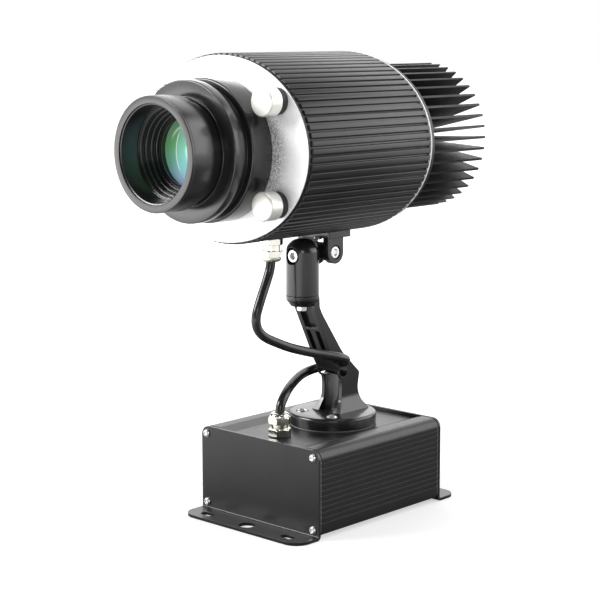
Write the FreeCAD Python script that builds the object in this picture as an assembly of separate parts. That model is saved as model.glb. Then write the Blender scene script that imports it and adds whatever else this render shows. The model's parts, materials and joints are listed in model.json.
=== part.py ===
"""Gobo projector: an oval ribbed lamp head on a swivelling bracket over a driver box.

Millimetres. The origin is on the underside of the feet, at the middle of the box.
The lens faces -Y, +Z is up and +X is to the right of someone facing the same way as the lens is seen.
"""
import FreeCAD
import Part
import math
import os
from FreeCAD import Vector

os.makedirs("parts", exist_ok=True)

# Driver box
BOX_WIDTH = 110.0
BOX_LENGTH = 127.0
BOX_HEIGHT = 60.0
BOX_WALL = 2.6
BOX_LIFT = 2.5
BOX_TOP_RADIUS = 6.5
BOX_LOW_RADIUS = 3.0
TOP_RAIL = 14.0
TOP_SLOPE = 9.0
TOP_RECESS = 2.5
TOP_ROUND = 3.0
GROOVE_COUNT = 12
GROOVE_PITCH = 3.69
GROOVE_WIDTH = 1.3
GROOVE_DEPTH = 0.9
GROOVE_FIRST = 11.4
PLATE_THICK = 2.0
BEND_RADIUS = 1.0
GASKET_THICK = 1.0
FOOT_REACH = 20.5
FOOT_CORNER = 11.0
FOOT_SLOT_SPACING = 76.0
FOOT_SLOT_LENGTH = 11.0
FOOT_SLOT_RADIUS = 3.0
FOOT_HOLE_RADIUS = 5.5
FOOT_HOLE_INSET = 9.0
PLATE_SCREW_INSET = 5.0
PLATE_SCREW_LOW = 6.2
PLATE_SCREW_RADIUS = 1.5
PLATE_SCREW_HEAD = 2.8
PLATE_SCREW_CROWN = 1.8
PLATE_SCREW_LENGTH = 12.0
SCREW_POST_WALL = 1.7
GASKET_INSET = 0.4
GASKET_LAP = 1.4

# Driver board and what it carries
BOARD_THICK = 1.6
BOARD_LENGTH = 112.0
BOARD_LEVEL = 14.0
GUIDE_DEPTH = 2.6
GUIDE_THICK = 1.6
TRANSFORMER_SIZE = (34.0, 30.0, 19.5)
TRANSFORMER_PLACE = (-24.0, 12.0)
TRANSFORMER_BASE = 3.0
TRANSFORMER_LEG = 5.0
COIL_LAP = 3.0
CAPACITOR_RADIUS = 8.0
CAPACITOR_HEIGHT = 26.0
CAPACITOR_PLACES = ((22.0, -16.0), (40.0, -16.0), (31.0, 8.0))
TERMINAL_SIZE = (24.0, 9.0, 12.0)
TERMINAL_PLACES = ((-24.0, -46.0), (0.0, 46.0))
TERMINAL_HOLE_RADIUS = 2.4
TERMINAL_HOLE_DEPTH = 4.0
COOLER_PLACE = (28.0, 34.0)
COOLER_HALF_WIDTH = 15.0
COOLER_HEIGHT = 28.0
COOLER_BACK = 3.0
COOLER_FIN_LENGTH = 9.0
COOLER_FIN_THICK = 1.5
COOLER_FIN_PITCH = 5.2
COOLER_FINS = 6
TRANSISTOR_SIZE = (10.0, 4.5, 15.0)

# Cable glands
GLAND_ACROSS_FLATS = 14.0
GLAND_STEM_RADIUS = 6.2
GLAND_STEM_LENGTH = 8.0
GLAND_HEX = 4.6
GLAND_NECK = 3.6
GLAND_NECK_RADIUS = 5.7
GLAND_NUT = 7.6
GLAND_SEAL = 0.9
GLAND_LOCKNUT = 3.0
GLAND_LOCKNUT_EXTRA = 1.5
GLAND_SEAL_EXTRA = 0.6
GLAND_NUT_ROUND = 2.6
GLAND_NUT_OVERLAP = 2.0
CABLE_DIAMETER = 6.4
DRIVER_GLAND_Y = -42.8
HEAD_GLAND_Y = -50.0
MAINS_GLAND_HEIGHT = 32.0

# Bracket: disc, column and arm in one casting
DISC_Y = 11.0
DISC_RADIUS = 30.5
DISC_THICK = 8.2
DISC_ROUND = 1.9
DISC_GASKET = 0.9
ARM_RISE = 85.7
ARM_HALF_WIDTH = 9.5
ARM_ROOT_FLARE = 4.0
ARM_FLARE_RISE = 9.0
ARM_FLARE_ROUND = 16.0
BRACKET_SCREW_X = 14.0
BRACKET_SCREW_Y = -5.4
BRACKET_REAR_SCREW_Y = 36.4
BRACKET_SCREW_RADIUS = 2.0
BRACKET_SCREW_END = 5.0
BRACKET_HEAD_RADIUS = 3.7
BRACKET_HEAD_HEIGHT = 2.0
BRACKET_SEAT_DEPTH = 1.0
BRACKET_SEAT_ROOM = 12.0
BRACKET_NUT_WIDTH = 7.0
BRACKET_NUT_THICK = 3.2
ARM_WEB = 2.6
RECESS_HALF_WIDTH = 5.7
RECESS_RISE = 61.4
RECESS_TOP_DROP = 6.9
GROOVE_INNER = 2.2
GROOVE_OUTER = 6.4
GROOVE_FLOOR = 6.7
GROOVE_RISE = 40.9
GROOVE_TOP_RISE = 59.4
HOLLOW_Y = -0.4
HOLLOW_RADIUS = 13.4
HOLLOW_HALF_WIDTH = 6.9
HOLLOW_RISE = 26.4
SLOT_RADIUS = 3.9
SLOT_RIM = 1.1
SLOT_RIM_PROUD = 0.5

# Ends of the slot for the cable, and the bracket's side outline up the front and down the rear:
# Y, rise above the disc and rounding
SLOT_LOW = (11.2, 28.8)
SLOT_HIGH = (10.6, 36.2)
FRONT_FOOT = (3.0, -1.0)
FRONT_FLARE = (9.6, 8.0, 9.0)
FRONT_WAIST = (10.4, 20.4, 20.0)
FRONT_KNEE = (8.4, 26.9, 12.0)
ARM_UNDERSIDE = (2.4, 35.0, 40.0)
REAR_ELBOW = (10.3, 43.2, 30.0)
REAR_KNEE = (28.6, 26.2, 2.2)
REAR_WAIST = (26.4, 14.9, 14.0)
REAR_FLARE = (29.6, 6.0, 8.0)
REAR_FOOT = (35.6, -1.0)

# Upper end of the arm: distance behind the post's axis, drop below the post and rounding
TIP_FRONT = (1.9, 9.5)
TIP_TOP_FRONT = (1.9, 1.0)
TIP_TOP_REAR = (6.8, 1.0)
TIP_REAR = (7.2, 8.7)
TIP_BACK = (9.8, 13.7, 30.0)

# Swivel post, knuckle and tilt joint
POST_Y = -19.8
POST_RADIUS = 11.3
POST_HEIGHT = 38.7
POST_DOME = 9.5
COLLAR_HEIGHT = 7.4
COLLAR_LOW_RADIUS = 8.0
COLLAR_BAND = 3.0
PAN_BOLT_RADIUS = 3.0
PAN_HEAD_HEIGHT = 3.6
PAN_HEAD_RADIUS = 3.9
PAN_BOLT_REACH = 13.0
PAN_BORE_END = 1.5
LEAN_RISE = 27.3
LEAN_SCREW_RADIUS = 2.5
LEAN_HEAD_RADIUS = 4.35
LEAN_HEAD_LENGTH = 5.0
LEAN_BORE_RADIUS = 5.85
LEAN_BORE_DEPTH = 6.6
SERRATION_RADIUS = 7.8
SERRATION_DISC = 2.7
SERRATION_TEETH = 24
SERRATION_DEPTH = 0.8
SERRATION_WIDTH = 1.1
SERRATION_INNER_SHARE = 0.62
TOOTHED_BOSS = 0.2
TILT_REACH = 7.0
TILT_RISE = 1.0
EAR_THICK = 4.5
EAR_OUTER = 14.0
EAR_RADIUS = 7.7
TILT_BOLT_RADIUS = 2.5
TILT_HEAD_RADIUS = 4.2
TILT_HEAD_LENGTH = 2.6
TILT_HEAD_SINK = 0.4
TILT_NUT_WIDTH = 8.0
TILT_NUT_THICK = 4.0
MOUNT_THICK = 3.4
MOUNT_HALF_WIDTH = 15.0
MOUNT_REACH = 15.2
MOUNT_RISE = 3.0
MOUNT_FRONT_SCREW = 2.6
MOUNT_REAR_SCREW = 4.4
MOUNT_SCREW_RADIUS = 2.0
MOUNT_SCREW_HEAD = 3.4
MOUNT_SCREW_HEAD_HEIGHT = 1.8
MOUNT_NUT_WIDTH = 7.0
MOUNT_NUT_THICK = 3.0
MOUNT_SCREW_END = 4.5
HEAD_RISE = 13.4

# Head
HEAD_HALF_WIDTH = 77.5
HEAD_HALF_HEIGHT = 61.0
HEAD_WALL = 5.0
HEAD_FRONT = -95.5
HEAD_REAR = 21.7
RIB_COUNT = 86
RIB_DEPTH = 1.2
RIB_CREST_SHARE = 0.68
RIB_FLANK_SHARE = 0.12
FRONT_PLATE_THICK = 3.0
FRONT_PLATE_INSET = 1.3
PLATE_BORE_GAP = 1.5
REAR_GASKET_THICK = 1.3
REAR_GASKET_INSET = 0.4
REAR_PLATE_THICK = 4.0
REAR_PLATE_INSET = 1.0
CHANNEL_X = 51.0
CHANNEL_Z = 32.0
CHANNEL_RADIUS = 6.0
WEB_HALF_THICK = 2.5
WEB_REACH = 20.0
REAR_SCREW_LENGTH = 15.0
KNOB_RADIUS = 9.2
KNOB_LENGTH = 10.7
KNOB_COLLAR_RADIUS = 8.4
KNOB_COLLAR_THICK = 4.8
KNOB_STUD_RADIUS = 2.5
KNOB_STUD_REACH = 16.0
KNOB_STUD_END = 1.5
KNOB_EDGE = 1.3
KNOB_BACK_EDGE = 0.8
STUD_HOLE_GAP = 0.3
GLAND_SEAT_GAP = 1.2
GLAND_NUT_ROOM = 2.4
SPOT_DEPTH = 4.0

# Heat sink and lamp
SINK_RADIUS = 51.6
SINK_BLADES = 41
SINK_BLADE_THICK = 1.7
SINK_CORE = 19.0
SINK_BASE = 4.0
SINK_END = 115.0
SINK_SLANT = 0.76
SINK_BOSS_RADIUS = 21.5
SINK_SCREW_RING = 45.0
LAMP_BOARD_THICK = 1.6
EMITTER_SIZE = 14.0
EMITTER_THICK = 1.2

# Lens barrel and focus ring
BARREL_MOUNT_RADIUS = 45.85
BARREL_MOUNT_END = -112.5
BARREL_EDGE = 1.2
BARREL_GROOVE_RADIUS = 41.0
BARREL_SCREW_LENGTH = 10.0
BARREL_SCREW_GRIP = 8.0
FOCUS_RING_RADIUS = 45.0
FOCUS_RING_BACK = -120.0
FOCUS_RING_FRONT = -126.7
FOCUS_SPIGOT_RADIUS = 37.5
FOCUS_SPIGOT_LENGTH = 3.8
FOCUS_EDGE = 1.2
FOCUS_BACK_EDGE = 0.6
FOCUS_LIP_WIDTH = 1.6
FOCUS_LIP_DEPTH = 1.0
HOOD_RADIUS = 36.2
HOOD_FRONT = -154.0
HOOD_BACK = -135.5
HOOD_MOUTH_RADIUS = 30.3
HOOD_MOUTH_DEPTH = 12.0
HOOD_MOUTH_CHAMFER = 2.4
HOOD_EDGE = 1.0
HOOD_STEPS = 5
HOOD_STEP_DEPTH = 3.2
HOOD_LIP_SHARE = 0.45
HOOD_LIP = 0.7
NECK_RADIUS = 32.9
NECK_WALL = 3.0
LENS_SHOULDER = 2.2
REAR_SOCKET_DEPTH = 12.0
BARREL_BACK = -84.0
FRONT_LENS_RADIUS = 22.7
FRONT_LENS_THICK = 8.0
LENS_SPACING = 10.0
LENS_RIM = 1.8
LENS_RING_DEPTH = 1.6
LENS_RING_LAP = 1.4
FRONT_LENS_BULGE = 3.0
FRONT_LENS_BACK_BULGE = 2.0
REAR_LENS_BULGE = 3.0
CAP_HEIGHT = 6.0
CONDENSER_SPACING = 18.0
REAR_LENS_RADIUS = 20.0
REAR_LENS_THICK = 6.0

# Gobo wheel and drive
GEAR_MODULE = 0.8
RING_TEETH = 72
PINION_TEETH = 18
GEAR_PRESSURE = 20.0
GEAR_BACKLASH = 0.30
GEAR_CENTRE_EXTRA = 0.12
GEAR_THICK = 3.0
FRAME_BACK = -69.0
FRAME_THICK = 3.0
HUB_RADIUS = 23.0
HUB_LENGTH = 7.0
GOBO_RADIUS = 18.6
GOBO_THICK = 1.1
GOBO_APERTURE = 16.5
CLIP_THICK = 1.0
CLIP_WIDTH = 1.6
CIRCLIP_WIDTH = 3.1
CIRCLIP_GROOVE = 1.0
GOBO_SINK = 0.4
MOTOR_RADIUS = 10.0
MOTOR_LENGTH = 15.0
MOTOR_LUG = 15.0
MOTOR_LUG_HALF_WIDTH = 3.5
MOTOR_NOSE_RADIUS = 3.8
MOTOR_SHAFT_RADIUS = 1.5
MOTOR_SHAFT_REACH = 8.0
STANDOFF_RING = 40.0
STANDOFF_SCREW_LENGTH = 8.0
FLUSH_DEPTH = 1.2
FLUSH_CROWN = 1.0
STANDOFF_RADIUS = 4.0
CONDENSER_TUBE_RADIUS = 26.0
CONDENSER_BORE = 22.2
CONDENSER_FLANGE = 32.0
CONDENSER_FLANGE_THICK = 3.0
CONDENSER_SCREW_INSET = 3.2
CONDENSER_LIP = 2.2
CONDENSER_LIP_DEPTH = 2.0
CONDENSER_SPACER_WALL = 1.5
CONDENSER_FRONT = -50.0
CONDENSER_LENS_THICK = 9.0

# Clearances
RUNNING_GAP = 0.06
HOLE_GAP = 0.15
FIT_GAP = 0.25
FACE_GAP = 0.3
THREAD_GAP = 0.02
SPOT_GAP = 0.7

# Places that follow from the sizes above
PLATE_OUTER_Y = BOX_LENGTH / 2
PLATE_INNER_Y = PLATE_OUTER_Y - PLATE_THICK
HOUSING_END_Y = PLATE_INNER_Y - GASKET_THICK
HALF_WIDTH = BOX_WIDTH / 2
TOP_FLOOR = BOX_HEIGHT - TOP_RECESS
CAVITY_TOP = TOP_FLOOR - BOX_WALL
CAVITY_LOW = BOX_LIFT + BOX_WALL
PLATE_SCREW_X = HALF_WIDTH - PLATE_SCREW_INSET
PLATE_SCREW_HIGH = BOX_HEIGHT - PLATE_SCREW_INSET
BOARD_TOP = BOARD_LEVEL + BOARD_THICK
DISC_LOW = TOP_FLOOR + DISC_GASKET
DISC_TOP = DISC_LOW + DISC_THICK
BRACKET_SEAT = DISC_TOP - BRACKET_SEAT_DEPTH
POST_LOW = DISC_TOP + ARM_RISE
POST_TOP = POST_LOW + POST_HEIGHT
LEAN_HEIGHT = POST_LOW + LEAN_RISE
TILT_HEIGHT = LEAN_HEIGHT + TILT_RISE
HEAD_LOW = TILT_HEIGHT + HEAD_RISE
HEAD_HEIGHT = HEAD_LOW + HEAD_HALF_HEIGHT
TUBE_FRONT = HEAD_FRONT + FRONT_PLATE_THICK
REAR_PLATE_Y = HEAD_REAR + REAR_GASKET_THICK
SINK_Y = REAR_PLATE_Y + REAR_PLATE_THICK
LAMP_Y = REAR_PLATE_Y - FIT_GAP
POST_REAR = POST_Y + POST_RADIUS
TOOTHED_FACE_Y = POST_REAR + TOOTHED_BOSS
KNUCKLE_FACE_Y = TOOTHED_FACE_Y + FACE_GAP
KNUCKLE_DISC_Y = KNUCKLE_FACE_Y + SERRATION_DISC
TILT_Y = POST_REAR + TILT_REACH
TONGUE_RADIUS = TILT_Y - KNUCKLE_FACE_Y - FACE_GAP
MOUNT_FRONT = TILT_Y - EAR_RADIUS
MOUNT_REAR = TILT_Y + MOUNT_REACH
TILT_SEAT = EAR_OUTER - TILT_HEAD_LENGTH - TILT_HEAD_SINK
EAR_INNER = EAR_OUTER - EAR_THICK
GEAR_DISTANCE = GEAR_MODULE * (RING_TEETH + PINION_TEETH) / 2 + GEAR_CENTRE_EXTRA
FRAME_FRONT = FRAME_BACK - FRAME_THICK
GEAR_BACK = FRAME_FRONT - FACE_GAP
GEAR_FRONT = GEAR_BACK - GEAR_THICK
LENS_SEAT = HOOD_FRONT + HOOD_MOUTH_DEPTH + HOOD_STEPS * HOOD_STEP_DEPTH
REAR_LENS_SEAT = LENS_SEAT + FRONT_LENS_THICK + LENS_SPACING
GOBO_BACK = GEAR_FRONT + GOBO_SINK + CLIP_THICK + GOBO_THICK

X_AXIS = Vector(1, 0, 0)
Y_AXIS = Vector(0, 1, 0)
Z_AXIS = Vector(0, 0, 1)


def block(x0, x1, y0, y1, z0, z1):
    return Part.makeBox(x1 - x0, y1 - y0, z1 - z0, Vector(x0, y0, z0))


def rod_x(y, z, x0, x1, radius):
    return Part.makeCylinder(radius, x1 - x0, Vector(x0, y, z), X_AXIS)


def rod_y(x, z, y0, y1, radius):
    return Part.makeCylinder(radius, y1 - y0, Vector(x, y0, z), Y_AXIS)


def rod_z(x, y, z0, z1, radius):
    return Part.makeCylinder(radius, z1 - z0, Vector(x, y, z0), Z_AXIS)


def corner_edges(corners, place):
    """Edges of a closed outline whose corners are (u, v) or (u, v, radius)."""
    count = len(corners)
    joints = []
    for i, corner in enumerate(corners):
        u, v = corner[0], corner[1]
        radius = corner[2] if len(corner) > 2 else 0.0
        before = corners[i - 1]
        after = corners[(i + 1) % count]
        back = Vector(before[0] - u, before[1] - v, 0)
        ahead = Vector(after[0] - u, after[1] - v, 0)
        back.normalize()
        ahead.normalize()
        half = back.getAngle(ahead) / 2
        if radius <= 0 or half > math.pi / 2 - 1e-4:
            joints.append((Vector(u, v, 0), None, Vector(u, v, 0)))
            continue
        here = Vector(u, v, 0)
        reach = radius / math.tan(half)
        bisector = back + ahead
        bisector.normalize()
        middle = here + bisector * (radius / math.sin(half) - radius)
        joints.append((here + back * reach, middle, here + ahead * reach))
    edges = []
    for i, (start, middle, end) in enumerate(joints):
        if middle is not None:
            arc = Part.Arc(place(start.x, start.y), place(middle.x, middle.y), place(end.x, end.y))
            edges.append(arc.toShape())
        following = joints[(i + 1) % count][0]
        if (following - end).Length > 1e-6:
            a = place(end.x, end.y)
            b = place(following.x, following.y)
            edges.append(Part.LineSegment(a, b).toShape())
    return edges


def plate_x(corners, x0, x1):
    """A plate with its outline in Y and Z, from x0 to x1."""
    wire = Part.Wire(corner_edges(corners, lambda u, v: Vector(x0, u, v)))
    return Part.Face(wire).extrude(Vector(x1 - x0, 0, 0))


def plate_y(corners, y0, y1):
    """A plate with its outline in X and Z, from y0 to y1."""
    wire = Part.Wire(corner_edges(corners, lambda u, v: Vector(u, y0, v)))
    return Part.Face(wire).extrude(Vector(0, y1 - y0, 0))


def plate_z(corners, z0, z1):
    """A plate with its outline in X and Y, from z0 to z1."""
    wire = Part.Wire(corner_edges(corners, lambda u, v: Vector(u, v, z0)))
    return Part.Face(wire).extrude(Vector(0, 0, z1 - z0))


def turned_y(corners, x=0.0, z=HEAD_HEIGHT):
    """A turned piece about an axis along Y, from (radius, y) corners."""
    wire = Part.Wire(corner_edges(corners, lambda u, v: Vector(x + u, v, z)))
    return Part.Face(wire).revolve(Vector(x, 0, z), Y_AXIS, 360)


def turned_z(corners, x, y):
    """A turned piece about an axis along Z, from (radius, z) corners."""
    wire = Part.Wire(corner_edges(corners, lambda u, v: Vector(x + u, y, v)))
    return Part.Face(wire).revolve(Vector(x, y, 0), Z_AXIS, 360)


def hexagon(across_flats, height, chamfer=0.6):
    """A hexagonal prism on +Z from the origin with turned-off corners at both ends."""
    outer = across_flats / math.sqrt(3)
    corners = [(outer * math.cos(math.radians(60 * i)), outer * math.sin(math.radians(60 * i)))
               for i in range(6)]
    prism = plate_z(corners, 0, height)
    limit = turned_z([(0, 0), (outer - chamfer, 0), (outer, chamfer),
                      (outer, height - chamfer), (outer - chamfer, height), (0, height)], 0, 0)
    return prism.common(limit)


def joined(shapes):
    whole = shapes[0]
    for shape in shapes[1:]:
        whole = whole.fuse(shape)
    return whole.removeSplitter()


def stood(shape, base, direction):
    """Turns a shape made on +Z from the origin so that it starts at base and runs along direction."""
    copy = shape.copy()
    turn = FreeCAD.Rotation(Z_AXIS, direction)
    copy.Placement = FreeCAD.Placement(base, turn).multiply(copy.Placement)
    return copy


def pan_screw(head_radius, head_height, shank_radius, length):
    """A cross-recessed screw: the seat is at the origin and the head rises on +Z."""
    crown = turned_z([(0, 0), (head_radius, 0, 0), (head_radius, head_height * 0.45, 0.3),
                      (head_radius * 0.62, head_height, 0.5), (0, head_height)], 0, 0)
    arm = head_radius * 0.55
    width = head_radius * 0.16
    depth = head_height * 0.5
    for along, across in ((arm, width), (width, arm)):
        crown = crown.cut(block(-along, along, -across, across, head_height - depth, head_height + 1))
    shank = rod_z(0, 0, -length, 0, shank_radius)
    return joined([crown, shank])


def socket_screw(head_radius, head_length, shank_radius, length):
    """A socket-head screw: the seat is at the origin and the head rises on +Z."""
    head = turned_z([(0, 0), (head_radius, 0), (head_radius, head_length, 0.5), (0, head_length)],
                    0, 0)
    key = hexagon(head_radius * 1.15, head_length * 0.55, 0.05)
    key.translate(Vector(0, 0, head_length * 0.5))
    shank = rod_z(0, 0, -length, 0, shank_radius)
    return joined([head.cut(key), shank])


def save(name, *shapes):
    solids = []
    for shape in shapes:
        solids.extend(shape.Solids)
    shape = solids[0] if len(solids) == 1 else Part.makeCompound(solids)
    shape.exportStep("parts/" + name + ".step")
    print(name, len(solids), "valid" if shape.isValid() else "NOT VALID", round(shape.Volume, 1))


# Driver box

def box_outline(inset, low):
    """Outline of the box in X and Z, from its low edge up."""
    half = HALF_WIDTH - inset
    rail = half - (TOP_RAIL - inset)
    foot = rail - TOP_SLOPE
    top = BOX_HEIGHT - inset
    floor = top - TOP_RECESS
    return [(-half, low, BOX_LOW_RADIUS), (half, low, BOX_LOW_RADIUS),
            (half, top, BOX_TOP_RADIUS), (rail, top, TOP_ROUND), (foot, floor, TOP_ROUND),
            (-foot, floor, TOP_ROUND), (-rail, top, TOP_ROUND), (-half, top, BOX_TOP_RADIUS)]


def screw_places(y):
    return [Vector(x, y, z) for x in (-PLATE_SCREW_X, PLATE_SCREW_X)
            for z in (PLATE_SCREW_LOW, PLATE_SCREW_HIGH)]


def driver_housing():
    body = plate_y(box_outline(0.0, BOX_LIFT), -HOUSING_END_Y, HOUSING_END_Y)
    inner = HALF_WIDTH - BOX_WALL
    cavity = block(-inner, inner, -HOUSING_END_Y - 1, HOUSING_END_Y + 1, CAVITY_LOW, CAVITY_TOP)
    additions = []
    for place in screw_places(-HOUSING_END_Y):
        size = PLATE_SCREW_RADIUS + SCREW_POST_WALL
        additions.append(block(place.x - size, place.x + size, -HOUSING_END_Y, HOUSING_END_Y,
                               place.z - size, place.z + size))
    for side in (-1, 1):
        low, high = sorted((side * inner, side * (inner - GUIDE_DEPTH)))
        for z in (BOARD_LEVEL - GUIDE_THICK, BOARD_TOP + FACE_GAP):
            additions.append(block(low, high, -HOUSING_END_Y, HOUSING_END_Y, z, z + GUIDE_THICK))
    for addition in additions:
        cavity = cavity.cut(addition)
    body = body.cut(cavity)
    for i in range(GROOVE_COUNT):
        z = GROOVE_FIRST + i * GROOVE_PITCH
        for side in (-1, 1):
            low, high = sorted((side * (HALF_WIDTH - GROOVE_DEPTH), side * (HALF_WIDTH + 1)))
            body = body.cut(block(low, high, -HOUSING_END_Y - 1, HOUSING_END_Y + 1,
                                  z - GROOVE_WIDTH / 2, z + GROOVE_WIDTH / 2))
    holes = [rod_z(0, DRIVER_GLAND_Y, CAVITY_TOP - 1, BOX_HEIGHT, GLAND_STEM_RADIUS + HOLE_GAP)]
    for x, y in bracket_screw_places():
        holes.append(rod_z(x, y, CAVITY_TOP - 1, BOX_HEIGHT, BRACKET_SCREW_RADIUS + HOLE_GAP))
    for place in screw_places(0):
        for y0, y1 in ((-HOUSING_END_Y - 1, -HOUSING_END_Y + PLATE_SCREW_LENGTH),
                       (HOUSING_END_Y - PLATE_SCREW_LENGTH, HOUSING_END_Y + 1)):
            holes.append(rod_y(place.x, place.z, y0, y1, PLATE_SCREW_RADIUS + THREAD_GAP))
    for hole in holes:
        body = body.cut(hole)
    return body


def foot_holes(side):
    """The middle hole and the two end slots of one foot."""
    y = side * (PLATE_OUTER_Y + FOOT_REACH - FOOT_HOLE_INSET)
    holes = [rod_z(0, y, -1, PLATE_THICK + 1, FOOT_HOLE_RADIUS)]
    reach = FOOT_SLOT_LENGTH / 2
    half = FOOT_SLOT_RADIUS
    corner = half - 0.01
    for x in (-FOOT_SLOT_SPACING / 2, FOOT_SLOT_SPACING / 2):
        outline = [(x - reach, y - half, corner), (x + reach, y - half, corner),
                   (x + reach, y + half, corner), (x - reach, y + half, corner)]
        holes.append(plate_z(outline, -1, PLATE_THICK + 1))
    return holes


def end_plate(side, mains_hole):
    """A bent sheet: the cover of one end of the box and the foot in front of it."""
    outer = PLATE_OUTER_Y
    reach = outer + FOOT_REACH
    bend = PLATE_THICK + BEND_RADIUS
    section = [(side * PLATE_INNER_Y, 0, bend), (side * reach, 0), (side * reach, PLATE_THICK),
               (side * outer, PLATE_THICK, BEND_RADIUS), (side * outer, BOX_HEIGHT),
               (side * PLATE_INNER_Y, BOX_HEIGHT)]
    sheet = plate_x(section, -HALF_WIDTH, HALF_WIDTH)
    span = sorted((side * (PLATE_INNER_Y - 1), side * (reach + 1)))
    cover = plate_y([(-HALF_WIDTH, -1), (HALF_WIDTH, -1), (HALF_WIDTH, BOX_HEIGHT, BOX_TOP_RADIUS),
                     (-HALF_WIDTH, BOX_HEIGHT, BOX_TOP_RADIUS)], span[0], span[1])
    inside = side * (PLATE_INNER_Y - 1)
    foot = plate_z([(-HALF_WIDTH, inside), (HALF_WIDTH, inside), (HALF_WIDTH, side * reach, FOOT_CORNER),
                    (-HALF_WIDTH, side * reach, FOOT_CORNER)], -1, BOX_HEIGHT + 1)
    sheet = sheet.common(cover).common(foot)
    for hole in foot_holes(side):
        sheet = sheet.cut(hole)
    low, high = sorted((side * (PLATE_INNER_Y - 1), side * (outer + 1)))
    for place in screw_places(0):
        sheet = sheet.cut(rod_y(place.x, place.z, low, high, PLATE_SCREW_RADIUS + HOLE_GAP))
    if mains_hole:
        sheet = sheet.cut(rod_y(0, MAINS_GLAND_HEIGHT, low, high, GLAND_STEM_RADIUS + HOLE_GAP))
    return sheet


def end_gasket(side):
    low, high = sorted((side * HOUSING_END_Y, side * PLATE_INNER_Y))
    ring = plate_y(box_outline(GASKET_INSET, BOX_LIFT + GASKET_INSET), low, high)
    inner = HALF_WIDTH - BOX_WALL - GASKET_LAP
    bottom = CAVITY_LOW + GASKET_LAP
    top = CAVITY_TOP - GASKET_LAP
    window = [(-inner, bottom), (inner, bottom), (inner, top), (-inner, top)]
    ring = ring.cut(plate_y(window, low - 1, high + 1))
    for place in screw_places(low):
        ring = ring.cut(rod_y(place.x, place.z, low - 1, high + 1, PLATE_SCREW_RADIUS + HOLE_GAP))
    return ring


def end_plate_screws():
    screw = pan_screw(PLATE_SCREW_HEAD, PLATE_SCREW_CROWN, PLATE_SCREW_RADIUS, PLATE_SCREW_LENGTH)
    front = [stood(screw, place, Vector(0, -1, 0)) for place in screw_places(-PLATE_OUTER_Y)]
    rear = [stood(screw, place, Vector(0, 1, 0)) for place in screw_places(PLATE_OUTER_Y)]
    return front + rear


def driver_board():
    half = HALF_WIDTH - BOX_WALL - FIT_GAP
    return block(-half, half, -BOARD_LENGTH / 2, BOARD_LENGTH / 2, BOARD_LEVEL, BOARD_TOP)


def transformer():
    """Base, core and winding."""
    width, length, height = TRANSFORMER_SIZE
    x, y = TRANSFORMER_PLACE
    half = width / 2
    core_low = BOARD_TOP + TRANSFORMER_BASE
    window_low = core_low + TRANSFORMER_LEG
    window_high = core_low + height - TRANSFORMER_LEG
    core = block(x - half, x + half, y - length / 2, y + length / 2, core_low, core_low + height)
    inner = half - TRANSFORMER_LEG
    core = core.cut(block(x - inner, x + inner, y - length, y + length, window_low, window_high))
    base = block(x - half + 1, x + half - 1, y - length / 2 + 2, y + length / 2 - 2,
                 BOARD_TOP, core_low)
    wide = inner - HOLE_GAP
    deep = length / 2 + COIL_LAP
    outline = [(x - wide, y - deep, COIL_LAP), (x + wide, y - deep, COIL_LAP),
               (x + wide, y + deep, COIL_LAP), (x - wide, y + deep, COIL_LAP)]
    coil = plate_z(outline, window_low + HOLE_GAP, window_high - HOLE_GAP)
    return base, core, coil


def capacitors():
    cans = []
    top = BOARD_TOP + CAPACITOR_HEIGHT
    for x, y in CAPACITOR_PLACES:
        cans.append(turned_z([(0, BOARD_TOP), (CAPACITOR_RADIUS, BOARD_TOP, 0.8),
                              (CAPACITOR_RADIUS, top, 0.8), (0, top)], x, y))
    return cans


def terminal_blocks():
    width, depth, height = TERMINAL_SIZE
    top = BOARD_TOP + height
    blocks = []
    for x, y in TERMINAL_PLACES:
        body = block(x - width / 2, x + width / 2, y - depth / 2, y + depth / 2, BOARD_TOP, top)
        for k in (-1, 0, 1):
            body = body.cut(rod_z(x + k * width / 3.2, y, top - TERMINAL_HOLE_DEPTH, top + 1,
                                  TERMINAL_HOLE_RADIUS))
        blocks.append(body)
    return blocks


def power_transistor():
    """A finned cooler standing on the board with the transistor on its face."""
    x, y = COOLER_PLACE
    half = COOLER_HALF_WIDTH
    top = BOARD_TOP + COOLER_HEIGHT
    fin_y = y + COOLER_BACK
    cooler = block(x - half, x + half, y, fin_y, BOARD_TOP, top)
    first = x - (COOLER_FIN_PITCH * (COOLER_FINS - 1) + COOLER_FIN_THICK) / 2
    for k in range(COOLER_FINS):
        fin_x = first + k * COOLER_FIN_PITCH
        cooler = cooler.fuse(block(fin_x, fin_x + COOLER_FIN_THICK, fin_y, fin_y + COOLER_FIN_LENGTH,
                                   BOARD_TOP, top))
    width, chip_depth, chip_height = TRANSISTOR_SIZE
    low = BOARD_TOP + chip_height / 3
    chip = block(x - width / 2, x + width / 2, y - chip_depth, y, low, low + chip_height)
    return cooler.removeSplitter(), chip


# Cable glands

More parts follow.
